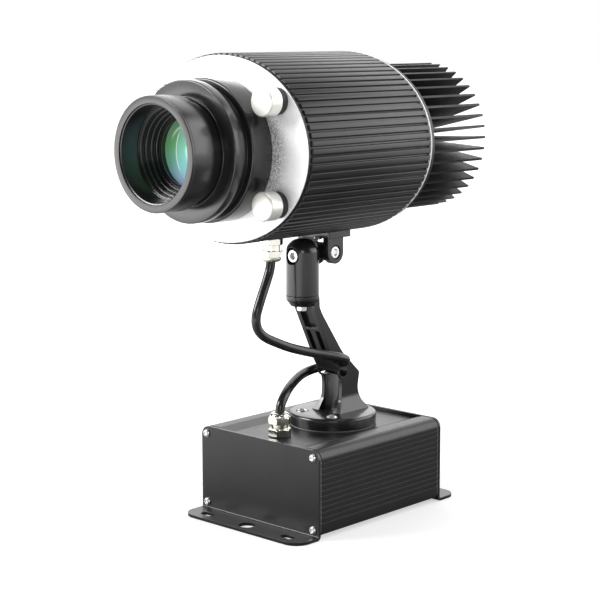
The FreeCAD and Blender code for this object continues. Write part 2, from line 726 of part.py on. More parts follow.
def gland_pieces(wall):
    """Gland on +Z: its seal seats at the origin and its stem passes back through the wall."""
    hex_low = GLAND_SEAL
    hex_high = hex_low + GLAND_HEX
    neck_high = hex_high + GLAND_NECK
    top = neck_high + GLAND_NUT
    bore = CABLE_DIAMETER / 2 + FIT_GAP
    seal = rod_z(0, 0, 0, hex_low, GLAND_ACROSS_FLATS / 2 + GLAND_SEAL_EXTRA)
    seal = seal.cut(rod_z(0, 0, -1, 2, GLAND_STEM_RADIUS))
    prism = hexagon(GLAND_ACROSS_FLATS, GLAND_HEX)
    prism.translate(Vector(0, 0, hex_low))
    stem = rod_z(0, 0, -GLAND_STEM_LENGTH, hex_low, GLAND_STEM_RADIUS)
    neck = rod_z(0, 0, hex_high, neck_high + GLAND_NUT_OVERLAP, GLAND_NECK_RADIUS)
    body = joined([prism, stem, neck]).cut(rod_z(0, 0, -2 * top, 2 * top, bore))
    grip = hexagon(GLAND_ACROSS_FLATS, GLAND_NUT * 0.6)
    grip.translate(Vector(0, 0, neck_high))
    outer = GLAND_ACROSS_FLATS / math.sqrt(3)
    dome_low = neck_high + GLAND_NUT * 0.3
    dome = turned_z([(0, dome_low), (outer * 0.84, dome_low), (outer * 0.84, top, GLAND_NUT_ROUND),
                     (0, top)], 0, 0)
    nut = joined([grip, dome])
    nut = nut.cut(rod_z(0, 0, neck_high - 1, neck_high + GLAND_NUT_OVERLAP + FACE_GAP,
                        GLAND_NECK_RADIUS + THREAD_GAP))
    nut = nut.cut(rod_z(0, 0, 0, 2 * top, bore))
    lock = hexagon(GLAND_ACROSS_FLATS + GLAND_LOCKNUT_EXTRA, GLAND_LOCKNUT)
    lock.translate(Vector(0, 0, -wall - GLAND_LOCKNUT))
    lock = lock.cut(rod_z(0, 0, -2 * top, 2 * top, GLAND_STEM_RADIUS + THREAD_GAP))
    return body, nut, lock, seal


def placed_gland(base, direction, wall):
    return [stood(piece, base, direction) for piece in gland_pieces(wall)]


# Bracket

def bracket_screw_places():
    return [(-BRACKET_SCREW_X, BRACKET_SCREW_Y), (BRACKET_SCREW_X, BRACKET_SCREW_Y),
            (0.0, BRACKET_REAR_SCREW_Y)]


def bracket_gasket():
    ring = rod_z(0, DISC_Y, TOP_FLOOR, DISC_LOW, DISC_RADIUS - 0.5)
    for x, y in bracket_screw_places():
        ring = ring.cut(rod_z(x, y, TOP_FLOOR - 1, DISC_LOW + 1, BRACKET_SCREW_RADIUS + HOLE_GAP))
    return ring


def over_disc(point):
    """Corner of the side outline from its Y, rise above the disc and rounding."""
    return (point[0], DISC_TOP + point[1]) + tuple(point[2:])


def under_post(point):
    """Corner of the side outline from its distance behind the post's axis and drop below the post."""
    return (POST_Y + point[0], POST_LOW - point[1]) + tuple(point[2:])


def arm_side():
    """Outline of the column and arm seen from the side, in Y and Z."""
    front = [over_disc(point) for point in (FRONT_FOOT, FRONT_FLARE, FRONT_WAIST, FRONT_KNEE, ARM_UNDERSIDE)]
    tip = [under_post(point) for point in (TIP_FRONT, TIP_TOP_FRONT, TIP_TOP_REAR, TIP_REAR, TIP_BACK)]
    rear = [over_disc(point) for point in (REAR_ELBOW, REAR_KNEE, REAR_WAIST, REAR_FLARE, REAR_FOOT)]
    return front + tip + rear


def arm_front():
    """Outline of the column and arm seen from the front, in X and Z."""
    half = ARM_HALF_WIDTH
    flare = half + ARM_ROOT_FLARE
    root = DISC_TOP + FRONT_FOOT[1]
    waist = DISC_TOP + ARM_FLARE_RISE
    return [(-flare, root), (flare, root), (half, waist, ARM_FLARE_ROUND), (half, POST_LOW),
            (-half, POST_LOW), (-half, waist, ARM_FLARE_ROUND)]


def rear_edge(z):
    """Y of the arm's straight rear edge at a height."""
    low_y, low_z = over_disc(REAR_ELBOW)[:2]
    high_y, high_z = under_post(TIP_BACK)[:2]
    return low_y + (high_y - low_y) * (z - low_z) / (high_z - low_z)


def slot_hole(x0, x1, radius):
    """The way for the cable through the arm, from side to side."""
    low_y, low_z = over_disc(SLOT_LOW)
    high_y, high_z = over_disc(SLOT_HIGH)
    along = Vector(0, high_y - low_y, high_z - low_z)
    along.normalize()
    across = Vector(0, -along.z, along.y) * radius
    ends = [Vector(x0, low_y, low_z), Vector(x0, high_y, high_z)]
    a, b = ends[0] + across, ends[1] + across
    c, d = ends[1] - across, ends[0] - across
    edges = [Part.LineSegment(a, b).toShape(),
             Part.Arc(b, ends[1] + along * radius, c).toShape(),
             Part.LineSegment(c, d).toShape(),
             Part.Arc(d, ends[0] - along * radius, a).toShape()]
    return Part.Face(Part.Wire(edges)).extrude(Vector(x1 - x0, 0, 0))


def arm_pockets():
    """The recess for the bolt head, the two long grooves and the hollow of the column."""
    ahead = POST_Y - 2 * POST_RADIUS
    low = DISC_TOP + RECESS_RISE
    top = POST_LOW - RECESS_TOP_DROP
    back_y, back_z = under_post(TIP_BACK)[:2]
    end_y = under_post(TIP_REAR)[0]
    recess = plate_x([(ahead, low), (rear_edge(low) - 2 * ARM_WEB, low), (back_y - ARM_WEB, back_z),
                      (end_y - ARM_WEB, top), (ahead, top)], -RECESS_HALF_WIDTH, RECESS_HALF_WIDTH)
    pockets = [recess]
    low = DISC_TOP + GROOVE_RISE
    top = DISC_TOP + GROOVE_TOP_RISE
    for x0, x1 in ((-GROOVE_OUTER, -GROOVE_INNER), (GROOVE_INNER, GROOVE_OUTER)):
        pockets.append(plate_x([(ahead, low), (rear_edge(low) - GROOVE_FLOOR, low),
                                (rear_edge(top) - GROOVE_FLOOR, top), (ahead, top)], x0, x1))
    low = DISC_TOP + THREAD_GAP
    top = DISC_TOP + HOLLOW_RISE
    hollow = rod_z(0, HOLLOW_Y, low, top, HOLLOW_RADIUS)
    pockets.append(hollow.common(block(-HOLLOW_HALF_WIDTH, HOLLOW_HALF_WIDTH, ahead, DISC_Y + HOLLOW_RADIUS,
                                       low, top)))
    return pockets


def bracket_arm():
    wide = DISC_RADIUS
    arm = plate_x(arm_side(), -wide, wide)
    arm = arm.common(plate_y(arm_front(), -2 * wide, 2 * wide))
    for pocket in arm_pockets():
        arm = arm.cut(pocket)
    for side in (-1, 1):
        low, high = sorted((side * (ARM_HALF_WIDTH - 1), side * (ARM_HALF_WIDTH + SLOT_RIM_PROUD)))
        arm = arm.fuse(slot_hole(low, high, SLOT_RADIUS + SLOT_RIM))
    disc = turned_z([(0, DISC_LOW), (DISC_RADIUS, DISC_LOW), (DISC_RADIUS, DISC_TOP, DISC_ROUND),
                     (0, DISC_TOP)], 0, DISC_Y)
    collar_low = POST_LOW - COLLAR_HEIGHT
    collar_top = POST_LOW - FACE_GAP
    collar = turned_z([(0, collar_low), (COLLAR_LOW_RADIUS, collar_low),
                       (POST_RADIUS, POST_LOW - COLLAR_BAND, 1.0), (POST_RADIUS, collar_top),
                       (0, collar_top)], 0, POST_Y)
    whole = joined([arm, disc, collar])
    whole = whole.cut(slot_hole(-wide, wide, SLOT_RADIUS))
    whole = whole.cut(rod_z(0, POST_Y, collar_low - 5, POST_LOW + 5, PAN_BOLT_RADIUS + RUNNING_GAP))
    for x, y in bracket_screw_places():
        whole = whole.cut(rod_z(x, y, DISC_LOW - 1, DISC_TOP + 1, BRACKET_SCREW_RADIUS + HOLE_GAP))
        whole = whole.cut(rod_z(x, y, BRACKET_SEAT, BRACKET_SEAT + BRACKET_SEAT_ROOM,
                                BRACKET_HEAD_RADIUS + SPOT_GAP))
    return whole


def bracket_screws():
    length = BRACKET_SEAT - CAVITY_TOP + BRACKET_SCREW_END
    screw = pan_screw(BRACKET_HEAD_RADIUS, BRACKET_HEAD_HEIGHT, BRACKET_SCREW_RADIUS, length)
    return [stood(screw, Vector(x, y, BRACKET_SEAT), Z_AXIS) for x, y in bracket_screw_places()]


def bracket_nuts():
    bore = rod_z(0, 0, -1, BRACKET_NUT_THICK + 1, BRACKET_SCREW_RADIUS + THREAD_GAP)
    nut = hexagon(BRACKET_NUT_WIDTH, BRACKET_NUT_THICK).cut(bore)
    low = CAVITY_TOP - BRACKET_NUT_THICK
    return [stood(nut, Vector(x, y, low), Z_AXIS) for x, y in bracket_screw_places()]


def pan_bolt():
    seat = POST_LOW - COLLAR_HEIGHT
    head = hexagon(PAN_HEAD_RADIUS * math.sqrt(3), PAN_HEAD_HEIGHT)
    head.translate(Vector(0, POST_Y, seat - PAN_HEAD_HEIGHT))
    return joined([head, rod_z(0, POST_Y, seat, POST_LOW + PAN_BOLT_REACH, PAN_BOLT_RADIUS)])


# Swivel post and knuckle

def serrations(y, outward):
    """Radial grooves in a flat face at y that looks along outward."""
    cutters = []
    for i in range(SERRATION_TEETH):
        angle = 360.0 * i / SERRATION_TEETH
        low, high = sorted((y - outward * SERRATION_DEPTH, y + outward * 1.0))
        cutter = block(SERRATION_RADIUS * SERRATION_INNER_SHARE, SERRATION_RADIUS + 2, low, high,
                       -SERRATION_WIDTH / 2, SERRATION_WIDTH / 2)
        cutter.rotate(Vector(0, 0, 0), Y_AXIS, angle)
        cutter.translate(Vector(0, 0, LEAN_HEIGHT))
        cutters.append(cutter)
    return cutters


def swivel_post():
    post = turned_z([(0, POST_LOW), (POST_RADIUS, POST_LOW), (POST_RADIUS, POST_TOP, POST_DOME),
                     (0, POST_TOP)], 0, POST_Y)
    boss = rod_y(0, LEAN_HEIGHT, POST_Y, TOOTHED_FACE_Y, SERRATION_RADIUS)
    post = joined([post, boss])
    for cutter in serrations(TOOTHED_FACE_Y, 1):
        post = post.cut(cutter)
    front = POST_Y - POST_RADIUS
    post = post.cut(rod_y(0, LEAN_HEIGHT, front - 2, front + LEAN_BORE_DEPTH, LEAN_BORE_RADIUS))
    post = post.cut(rod_y(0, LEAN_HEIGHT, front - 2, POST_REAR + 2, LEAN_SCREW_RADIUS + THREAD_GAP))
    post = post.cut(rod_z(0, POST_Y, POST_LOW - 1, POST_LOW + PAN_BOLT_REACH + PAN_BORE_END,
                          PAN_BOLT_RADIUS + RUNNING_GAP))
    return post


def lean_screw():
    seat = POST_Y - POST_RADIUS + LEAN_BORE_DEPTH
    reach = KNUCKLE_DISC_Y + HOLE_GAP - seat
    screw = socket_screw(LEAN_HEAD_RADIUS, LEAN_HEAD_LENGTH, LEAN_SCREW_RADIUS, reach)
    return stood(screw, Vector(0, seat, LEAN_HEIGHT), Vector(0, -1, 0))


def knuckle():
    """The toothed disc, and the tongue between the head's ears."""
    disc = rod_y(0, LEAN_HEIGHT, KNUCKLE_FACE_Y, KNUCKLE_DISC_Y, SERRATION_RADIUS)
    for cutter in serrations(KNUCKLE_FACE_Y, -1):
        disc = disc.cut(cutter)
    half = EAR_INNER - FACE_GAP
    tongue = rod_x(TILT_Y, TILT_HEIGHT, -half, half, TONGUE_RADIUS)
    neck_half = TONGUE_RADIUS - FACE_GAP
    neck = block(-neck_half, neck_half, KNUCKLE_DISC_Y - 0.5, TILT_Y,
                 TILT_HEIGHT - neck_half, TILT_HEIGHT + neck_half)
    whole = joined([disc, tongue, neck])
    whole = whole.cut(rod_x(TILT_Y, TILT_HEIGHT, -2 * half, 2 * half, TILT_BOLT_RADIUS + RUNNING_GAP))
    return whole.cut(rod_y(0, LEAN_HEIGHT, KNUCKLE_FACE_Y - 1, KNUCKLE_DISC_Y + HOLE_GAP + FIT_GAP,
                           LEAN_SCREW_RADIUS + RUNNING_GAP))


def oval(half_width, half_height, y0, y1):
    ellipse = Part.Ellipse(Vector(0, y0, HEAD_HEIGHT), half_width, half_height)
    ellipse.rotate(FreeCAD.Placement(Vector(0, y0, HEAD_HEIGHT),
                                     FreeCAD.Rotation(X_AXIS, 90), Vector(0, 0, 0)))
    wire = Part.Wire(ellipse.toShape())
    return Part.Face(wire).extrude(Vector(0, y1 - y0, 0))


def head_mount():
    top = HEAD_LOW + MOUNT_RISE
    low = HEAD_LOW - MOUNT_THICK
    plate = plate_z([(-MOUNT_HALF_WIDTH, MOUNT_FRONT, 1.5), (MOUNT_HALF_WIDTH, MOUNT_FRONT, 1.5),
                     (MOUNT_HALF_WIDTH, MOUNT_REAR, 2.0), (-MOUNT_HALF_WIDTH, MOUNT_REAR, 2.0)], low, top)
    ears = []
    for side in (-1, 1):
        low_x, high_x = sorted((side * EAR_INNER, side * EAR_OUTER))
        ear = rod_x(TILT_Y, TILT_HEIGHT, low_x, high_x, EAR_RADIUS)
        upright = block(low_x, high_x, TILT_Y - EAR_RADIUS, TILT_Y + EAR_RADIUS, TILT_HEIGHT, low + 1)
        ears.append(ear.fuse(upright))
    whole = joined([plate] + ears)
    whole = whole.cut(oval(HEAD_HALF_WIDTH + RUNNING_GAP, HEAD_HALF_HEIGHT + RUNNING_GAP,
                           TUBE_FRONT, HEAD_REAR))
    wide = 2 * EAR_OUTER
    whole = whole.cut(rod_x(TILT_Y, TILT_HEIGHT, -wide, wide, TILT_BOLT_RADIUS + THREAD_GAP))
    whole = whole.cut(rod_x(TILT_Y, TILT_HEIGHT, TILT_SEAT, wide, TILT_HEAD_RADIUS + SPOT_GAP))
    for y in mount_screw_places():
        whole = whole.cut(rod_z(0, y, low - 1, top + 1, MOUNT_SCREW_RADIUS + HOLE_GAP))
    return whole


def mount_screw_places():
    return (TILT_Y - MOUNT_FRONT_SCREW, MOUNT_REAR - MOUNT_REAR_SCREW)


def head_mount_screws():
    seat = HEAD_LOW - MOUNT_THICK
    inside = HEAD_LOW + HEAD_WALL
    length = MOUNT_THICK + HEAD_WALL + MOUNT_SCREW_END
    screw = pan_screw(MOUNT_SCREW_HEAD, MOUNT_SCREW_HEAD_HEIGHT, MOUNT_SCREW_RADIUS, length)
    bore = rod_z(0, 0, -1, MOUNT_NUT_THICK + 1, MOUNT_SCREW_RADIUS + THREAD_GAP)
    nut = hexagon(MOUNT_NUT_WIDTH, MOUNT_NUT_THICK).cut(bore)
    pieces = []
    for y in mount_screw_places():
        pieces.append(stood(screw, Vector(0, y, seat), Vector(0, 0, -1)))
        pieces.append(stood(nut, Vector(0, y, inside), Z_AXIS))
    return pieces


def tilt_bolt():
    length = TILT_SEAT + EAR_OUTER + TILT_NUT_THICK + FACE_GAP
    screw = socket_screw(TILT_HEAD_RADIUS, TILT_HEAD_LENGTH, TILT_BOLT_RADIUS, length)
    bolt = stood(screw, Vector(TILT_SEAT, TILT_Y, TILT_HEIGHT), X_AXIS)
    bore = rod_z(0, 0, -1, TILT_NUT_THICK + 1, TILT_BOLT_RADIUS + THREAD_GAP)
    nut = hexagon(TILT_NUT_WIDTH, TILT_NUT_THICK).cut(bore)
    return bolt, stood(nut, Vector(-EAR_OUTER, TILT_Y, TILT_HEIGHT), Vector(-1, 0, 0))


# Head

def rib_angles():
    """Angles that step evenly along the edge of the oval."""
    steps = 7200
    lengths = [0.0]
    for i in range(steps):
        t = 2 * math.pi * (i + 0.5) / steps
        lengths.append(lengths[-1] + math.hypot(HEAD_HALF_WIDTH * math.sin(t),
                                                HEAD_HALF_HEIGHT * math.cos(t)))
    angles = []
    index = 0
    for i in range(RIB_COUNT):
        crest = RIB_CREST_SHARE * lengths[-1] / RIB_COUNT
        for share in (-0.5, 0.5):
            target = lengths[-1] * i / RIB_COUNT + share * crest + 0.5 * crest
            while lengths[index] < target:
                index += 1
            angles.append(2 * math.pi * index / steps)
    return angles


def ribbed_oval(y0, y1):
    corners = []
    angles = rib_angles()
    for i in range(RIB_COUNT):
        start, end = angles[2 * i], angles[2 * i + 1]
        following = angles[(2 * i + 2) % len(angles)] + (2 * math.pi if i == RIB_COUNT - 1 else 0)
        gap = (following - end) * RIB_FLANK_SHARE
        for angle, depth in ((start, 0.0), (end, 0.0), (end + gap, RIB_DEPTH), (following - gap, RIB_DEPTH)):
            corners.append(((HEAD_HALF_WIDTH - depth) * math.cos(angle),
                            HEAD_HEIGHT + (HEAD_HALF_HEIGHT - depth) * math.sin(angle)))
    return plate_y(corners, y0, y1)


def channel_places():
    return [(x, HEAD_HEIGHT + z) for x in (-CHANNEL_X, CHANNEL_X) for z in (-CHANNEL_Z, CHANNEL_Z)]


def head_tube():
    outer = ribbed_oval(TUBE_FRONT, HEAD_REAR)
    bore = oval(HEAD_HALF_WIDTH - HEAD_WALL, HEAD_HALF_HEIGHT - HEAD_WALL, TUBE_FRONT - 1, HEAD_REAR + 1)
    for x, z in channel_places():
        bore = bore.cut(rod_y(x, z, TUBE_FRONT - 2, HEAD_REAR + 2, CHANNEL_RADIUS))
        angle = math.degrees(math.atan2(z - HEAD_HEIGHT, x))
        web = block(0, WEB_REACH, TUBE_FRONT - 2, HEAD_REAR + 2, -WEB_HALF_THICK, WEB_HALF_THICK)
        web.rotate(Vector(0, 0, 0), Y_AXIS, -angle)
        web.translate(Vector(x, 0, z))
        bore = bore.cut(web)
    tube = outer.cut(bore)
    for x, z in channel_places():
        tube = tube.cut(rod_y(x, z, TUBE_FRONT - 1, TUBE_FRONT + KNOB_STUD_REACH,
                              KNOB_STUD_RADIUS + RUNNING_GAP))
        tube = tube.cut(rod_y(x, z, HEAD_REAR - REAR_SCREW_LENGTH, HEAD_REAR + 1,
                              PLATE_SCREW_RADIUS + THREAD_GAP))
    seat = HEAD_LOW + GLAND_SEAL
    tube = tube.cut(rod_z(0, HEAD_GLAND_Y, HEAD_LOW - 5, seat, GLAND_ACROSS_FLATS / 2 + GLAND_SEAT_GAP))
    tube = tube.cut(rod_z(0, HEAD_GLAND_Y, HEAD_LOW - 5, HEAD_HEIGHT, GLAND_STEM_RADIUS + HOLE_GAP))
    inside = HEAD_LOW + HEAD_WALL
    tube = tube.cut(rod_z(0, HEAD_GLAND_Y, inside, inside + SPOT_DEPTH,
                          GLAND_ACROSS_FLATS / 2 + GLAND_NUT_ROOM))
    for y in mount_screw_places():
        tube = tube.cut(rod_z(0, y, HEAD_LOW - 5, HEAD_HEIGHT, MOUNT_SCREW_RADIUS + HOLE_GAP))
        tube = tube.cut(rod_z(0, y, inside, inside + SPOT_DEPTH, MOUNT_NUT_WIDTH / 2 + SPOT_GAP + FACE_GAP))
    return tube


def front_plate():
    plate = oval(HEAD_HALF_WIDTH - FRONT_PLATE_INSET, HEAD_HALF_HEIGHT - FRONT_PLATE_INSET,
                 HEAD_FRONT, TUBE_FRONT)
    plate = plate.cut(rod_y(0, HEAD_HEIGHT, HEAD_FRONT - 1, TUBE_FRONT + 1, NECK_RADIUS + PLATE_BORE_GAP))
    for x, z in channel_places():
        plate = plate.cut(rod_y(x, z, HEAD_FRONT - 1, TUBE_FRONT + 1, KNOB_STUD_RADIUS + STUD_HOLE_GAP))
    for x, z in barrel_screw_places():
        plate = plate.cut(rod_y(x, z, HEAD_FRONT - 1, TUBE_FRONT + 1, PLATE_SCREW_RADIUS + HOLE_GAP))
    for x, z in standoff_places():
        plate = plate.cut(rod_y(x, z, HEAD_FRONT - 1, TUBE_FRONT + 1, PLATE_SCREW_RADIUS + HOLE_GAP))
        plate = plate.cut(rod_y(x, z, HEAD_FRONT - 1, HEAD_FRONT + FLUSH_DEPTH, PLATE_SCREW_HEAD + HOLE_GAP))
    return plate


def ring_places(radius, count, start):
    return [(radius * math.cos(math.radians(start + 360.0 * i / count)),
             HEAD_HEIGHT + radius * math.sin(math.radians(start + 360.0 * i / count)))
            for i in range(count)]


def barrel_screw_places():
    return ring_places((BARREL_MOUNT_RADIUS + NECK_RADIUS) / 2, 4, 0)


def standoff_places():
    return ring_places(STANDOFF_RING, 4, 45)


def knob_collar(x, z):
    outer = KNOB_COLLAR_RADIUS
    inner = KNOB_STUD_RADIUS + STUD_HOLE_GAP
    back = HEAD_FRONT
    front = HEAD_FRONT - KNOB_COLLAR_THICK
    return turned_y([(inner, back), (outer, back), (outer, front, 0.8), (inner, front)], x, z)


def thumb_knob(x, z):
    back = HEAD_FRONT - KNOB_COLLAR_THICK - FACE_GAP
    front = back - KNOB_LENGTH
    head = turned_y([(0, back), (KNOB_RADIUS, back, KNOB_BACK_EDGE), (KNOB_RADIUS, front, KNOB_EDGE),
                     (0, front)], x, z)
    stud = rod_y(x, z, back, TUBE_FRONT + KNOB_STUD_REACH - KNOB_STUD_END, KNOB_STUD_RADIUS)
    return joined([head, stud])


def lens_mount():
    """The fixed barrel on the front plate: it guides the lens barrel and carries the focus ring."""
    bore = NECK_RADIUS + RUNNING_GAP
    spigot_end = FOCUS_RING_BACK - FOCUS_SPIGOT_LENGTH
    body = turned_y([(bore, HEAD_FRONT), (BARREL_MOUNT_RADIUS, HEAD_FRONT),
                     (BARREL_MOUNT_RADIUS, BARREL_MOUNT_END, BARREL_EDGE),
                     (BARREL_GROOVE_RADIUS, BARREL_MOUNT_END),
                     (BARREL_GROOVE_RADIUS, FOCUS_RING_BACK + FACE_GAP),
                     (FOCUS_SPIGOT_RADIUS, FOCUS_RING_BACK + FACE_GAP),
                     (FOCUS_SPIGOT_RADIUS, spigot_end), (bore, spigot_end)])
    for x, z in barrel_screw_places():
        body = body.cut(rod_y(x, z, HEAD_FRONT - BARREL_SCREW_GRIP, HEAD_FRONT + 1, PLATE_SCREW_RADIUS + THREAD_GAP))
    return body


def barrel_screws():
    screw = pan_screw(PLATE_SCREW_HEAD, PLATE_SCREW_CROWN, PLATE_SCREW_RADIUS, BARREL_SCREW_LENGTH)
    return [stood(screw, Vector(x, TUBE_FRONT, z), Y_AXIS) for x, z in barrel_screw_places()]


def focus_ring():
    spigot_bore = FOCUS_SPIGOT_RADIUS + RUNNING_GAP
    neck_bore = NECK_RADIUS + RUNNING_GAP
    shoulder = FOCUS_RING_BACK - FOCUS_SPIGOT_LENGTH - FACE_GAP
    front = FOCUS_RING_FRONT
    rim = FOCUS_RING_RADIUS
    lip = neck_bore + FOCUS_LIP_WIDTH
    step = front + FOCUS_LIP_DEPTH
    return turned_y([(spigot_bore, FOCUS_RING_BACK), (rim - FOCUS_BACK_EDGE, FOCUS_RING_BACK),
                     (rim, FOCUS_RING_BACK - FOCUS_BACK_EDGE), (rim, front + FOCUS_EDGE),
                     (rim - FOCUS_EDGE, front), (lip, front), (lip, step),
                     (neck_bore, step), (neck_bore, shoulder), (spigot_bore, shoulder)])


def lens_barrel():
    """Hood, neck and inner tube in one turned piece."""
    lens_bore = FRONT_LENS_RADIUS + HOLE_GAP
    inner = REAR_LENS_RADIUS + HOLE_GAP
    tube = NECK_RADIUS - NECK_WALL
    shoulder = inner - LENS_SHOULDER
    socket_end = REAR_LENS_SEAT + REAR_SOCKET_DEPTH
    corners = [(HOOD_MOUTH_RADIUS, HOOD_FRONT + HOOD_MOUTH_CHAMFER),
               (HOOD_MOUTH_RADIUS + HOOD_MOUTH_CHAMFER, HOOD_FRONT),
               (HOOD_RADIUS, HOOD_FRONT, HOOD_EDGE), (HOOD_RADIUS, HOOD_BACK, HOOD_EDGE),
               (NECK_RADIUS, HOOD_BACK), (NECK_RADIUS, BARREL_BACK), (tube, BARREL_BACK),
               (tube, socket_end), (inner, socket_end), (inner, REAR_LENS_SEAT),
               (shoulder, REAR_LENS_SEAT), (shoulder, LENS_SEAT + FRONT_LENS_THICK),
               (lens_bore, LENS_SEAT + FRONT_LENS_THICK), (lens_bore, LENS_SEAT)]
    step = (HOOD_MOUTH_RADIUS - lens_bore) / HOOD_STEPS
    for i in range(HOOD_STEPS):
        y = LENS_SEAT - i * HOOD_STEP_DEPTH
        radius = lens_bore + (i + 1) * step
        corners.append((radius, y))
        if i < HOOD_STEPS - 1:
            lip_y = y - HOOD_STEP_DEPTH * (1 - HOOD_LIP_SHARE)
            corners += [(radius, lip_y), (radius - HOOD_LIP, lip_y), (radius - HOOD_LIP, y - HOOD_STEP_DEPTH)]
    return turned_y(corners)


def cap_arc(start_y, radius, height, sign):
    """Half of a spherical cap in section, from the axis out to its edge."""
    start = Vector(0, start_y, HEAD_HEIGHT)
    end = Vector(radius, start_y + sign * height, HEAD_HEIGHT)
    sphere = (radius * radius + height * height) / (2 * height)
    half = math.asin(radius / sphere) / 2
    middle = Vector(sphere * math.sin(half), start_y + sign * sphere * (1 - math.cos(half)), HEAD_HEIGHT)
    return Part.Arc(start, middle, end).toShape()


def lens(radius, middle, y, front_bulge, back_bulge):
    """A lens whose front is at y, with the heights of its two caps inside a flat rim."""
    edge = radius - LENS_RIM
    edges = []
    rims = []
    for start_y, height, sign in ((y, front_bulge, 1), (y + middle, back_bulge, -1)):
        rim_y = start_y + sign * height
        if height > 0:
            edges.append(cap_arc(start_y, edge, height, sign))
        else:
            edges.append(Part.LineSegment(Vector(0, start_y, HEAD_HEIGHT),
                                          Vector(edge, rim_y, HEAD_HEIGHT)).toShape())
        rims.append(Vector(radius, rim_y, HEAD_HEIGHT))
        edges.append(Part.LineSegment(Vector(edge, rim_y, HEAD_HEIGHT), rims[-1]).toShape())
    edges.append(Part.LineSegment(rims[0], rims[1]).toShape())
    edges.append(Part.LineSegment(Vector(0, y, HEAD_HEIGHT), Vector(0, y + middle, HEAD_HEIGHT)).toShape())
    wire = Part.Wire(Part.__sortEdges__(edges))
    return Part.Face(wire).revolve(Vector(0, 0, HEAD_HEIGHT), Y_AXIS, 360)


def front_lens():
    return lens(FRONT_LENS_RADIUS, FRONT_LENS_THICK, LENS_SEAT, FRONT_LENS_BULGE, FRONT_LENS_BACK_BULGE)


def rear_lens():
    return lens(REAR_LENS_RADIUS, REAR_LENS_THICK, REAR_LENS_SEAT, 0.0, REAR_LENS_BULGE)


def lens_rings():
    """The ring that holds the front lens and the ring that holds the rear lens."""
    step = (HOOD_MOUTH_RADIUS - FRONT_LENS_RADIUS - HOLE_GAP) / HOOD_STEPS
    outer = FRONT_LENS_RADIUS + step * 0.8
    low = LENS_SEAT - LENS_RING_DEPTH
    front = turned_y([(FRONT_LENS_RADIUS - LENS_RING_LAP, low), (outer, low), (outer, LENS_SEAT),
                      (FRONT_LENS_RADIUS - LENS_RING_LAP / 2, LENS_SEAT)])
    rim = REAR_LENS_SEAT + REAR_LENS_THICK - REAR_LENS_BULGE
    inner = REAR_LENS_RADIUS - LENS_RIM
    end = rim + REAR_LENS_BULGE + LENS_RING_DEPTH
    rear = turned_y([(inner, rim), (REAR_LENS_RADIUS, rim), (REAR_LENS_RADIUS, end), (inner, end)])
    return front, rear


# Gobo wheel and its drive

def gear_outline(teeth, turn):
    """Corners of an involute gear in X and Z about the origin."""
    pitch = GEAR_MODULE * teeth / 2
    base = pitch * math.cos(math.radians(GEAR_PRESSURE))
    tip = pitch + GEAR_MODULE * 0.92
    root = pitch - GEAR_MODULE * 1.25
    def involute(angle):
        return math.tan(angle) - angle
    half_at_pitch = (math.pi * GEAR_MODULE / 2 - GEAR_BACKLASH / 2) / (2 * pitch)
    reference = involute(math.radians(GEAR_PRESSURE))
    flank = []
    low = max(base, root)
    for k in range(3):
        radius = low + (tip - low) * k / 2
        slope = math.acos(min(1.0, base / radius))
        flank.append((radius, half_at_pitch + reference - involute(slope)))
    corners = []
    for i in range(teeth):
        middle = 2 * math.pi * i / teeth + math.radians(turn)
        rising = [(root, flank[0][1])] + flank if root < low - 0.01 else flank
        for radius, half in rising:
            corners.append((radius * math.cos(middle - half), radius * math.sin(middle - half)))
        for radius, half in reversed(rising):
            corners.append((radius * math.cos(middle + half), radius * math.sin(middle + half)))
    return corners


def gear(teeth, x, z, y0, y1, turn):
    corners = [(x + u, z + v) for u, v in gear_outline(teeth, turn)]
    return plate_y(corners, y0, y1)


def gobo_wheel():
    """Ring gear with the hub that turns in the optics frame and holds the gobo."""
    wheel = gear(RING_TEETH, 0, HEAD_HEIGHT, GEAR_FRONT, GEAR_BACK, 0.0)
    hub = rod_y(0, HEAD_HEIGHT, GEAR_BACK, GEAR_BACK + HUB_LENGTH, HUB_RADIUS)
    wheel = joined([wheel, hub])
    wheel = wheel.cut(rod_y(0, HEAD_HEIGHT, GEAR_FRONT - 1, GEAR_BACK + HUB_LENGTH + 1, GOBO_APERTURE))
    wheel = wheel.cut(rod_y(0, HEAD_HEIGHT, GEAR_FRONT - 1, GOBO_BACK, GOBO_RADIUS + HOLE_GAP))
    low = FRAME_BACK + FACE_GAP
    high = low + CLIP_THICK + HOLE_GAP
    inner = HUB_RADIUS - CIRCLIP_GROOVE
    return wheel.cut(turned_y([(inner, low), (HUB_RADIUS + 1, low), (HUB_RADIUS + 1, high), (inner, high)]))


def gobo_disc():
    return rod_y(0, HEAD_HEIGHT, GOBO_BACK - GOBO_THICK, GOBO_BACK, GOBO_RADIUS)


def gobo_clips():
    """The snap ring over the gobo and the circlip behind the frame."""
    front = GEAR_FRONT + GOBO_SINK
    back = front + CLIP_THICK
    snap = turned_y([(GOBO_RADIUS - CLIP_WIDTH, front), (GOBO_RADIUS, front), (GOBO_RADIUS, back),
                     (GOBO_RADIUS - CLIP_WIDTH, back)])
    slit = block(-CLIP_WIDTH, CLIP_WIDTH, front - 1, back + 1, HEAD_HEIGHT, HEAD_HEIGHT + HUB_RADIUS)
    low = FRAME_BACK + FACE_GAP + RUNNING_GAP
    high = low + CLIP_THICK
    inner = HUB_RADIUS - CIRCLIP_GROOVE + RUNNING_GAP
    outer = inner + CIRCLIP_WIDTH
    circlip = turned_y([(inner, low), (outer, low), (outer, high), (inner, high)])
    gap = block(-CLIP_WIDTH, CLIP_WIDTH, low - 1, high + 1, HEAD_HEIGHT - 2 * HUB_RADIUS, HEAD_HEIGHT)
    return snap.cut(slit), circlip.cut(gap)


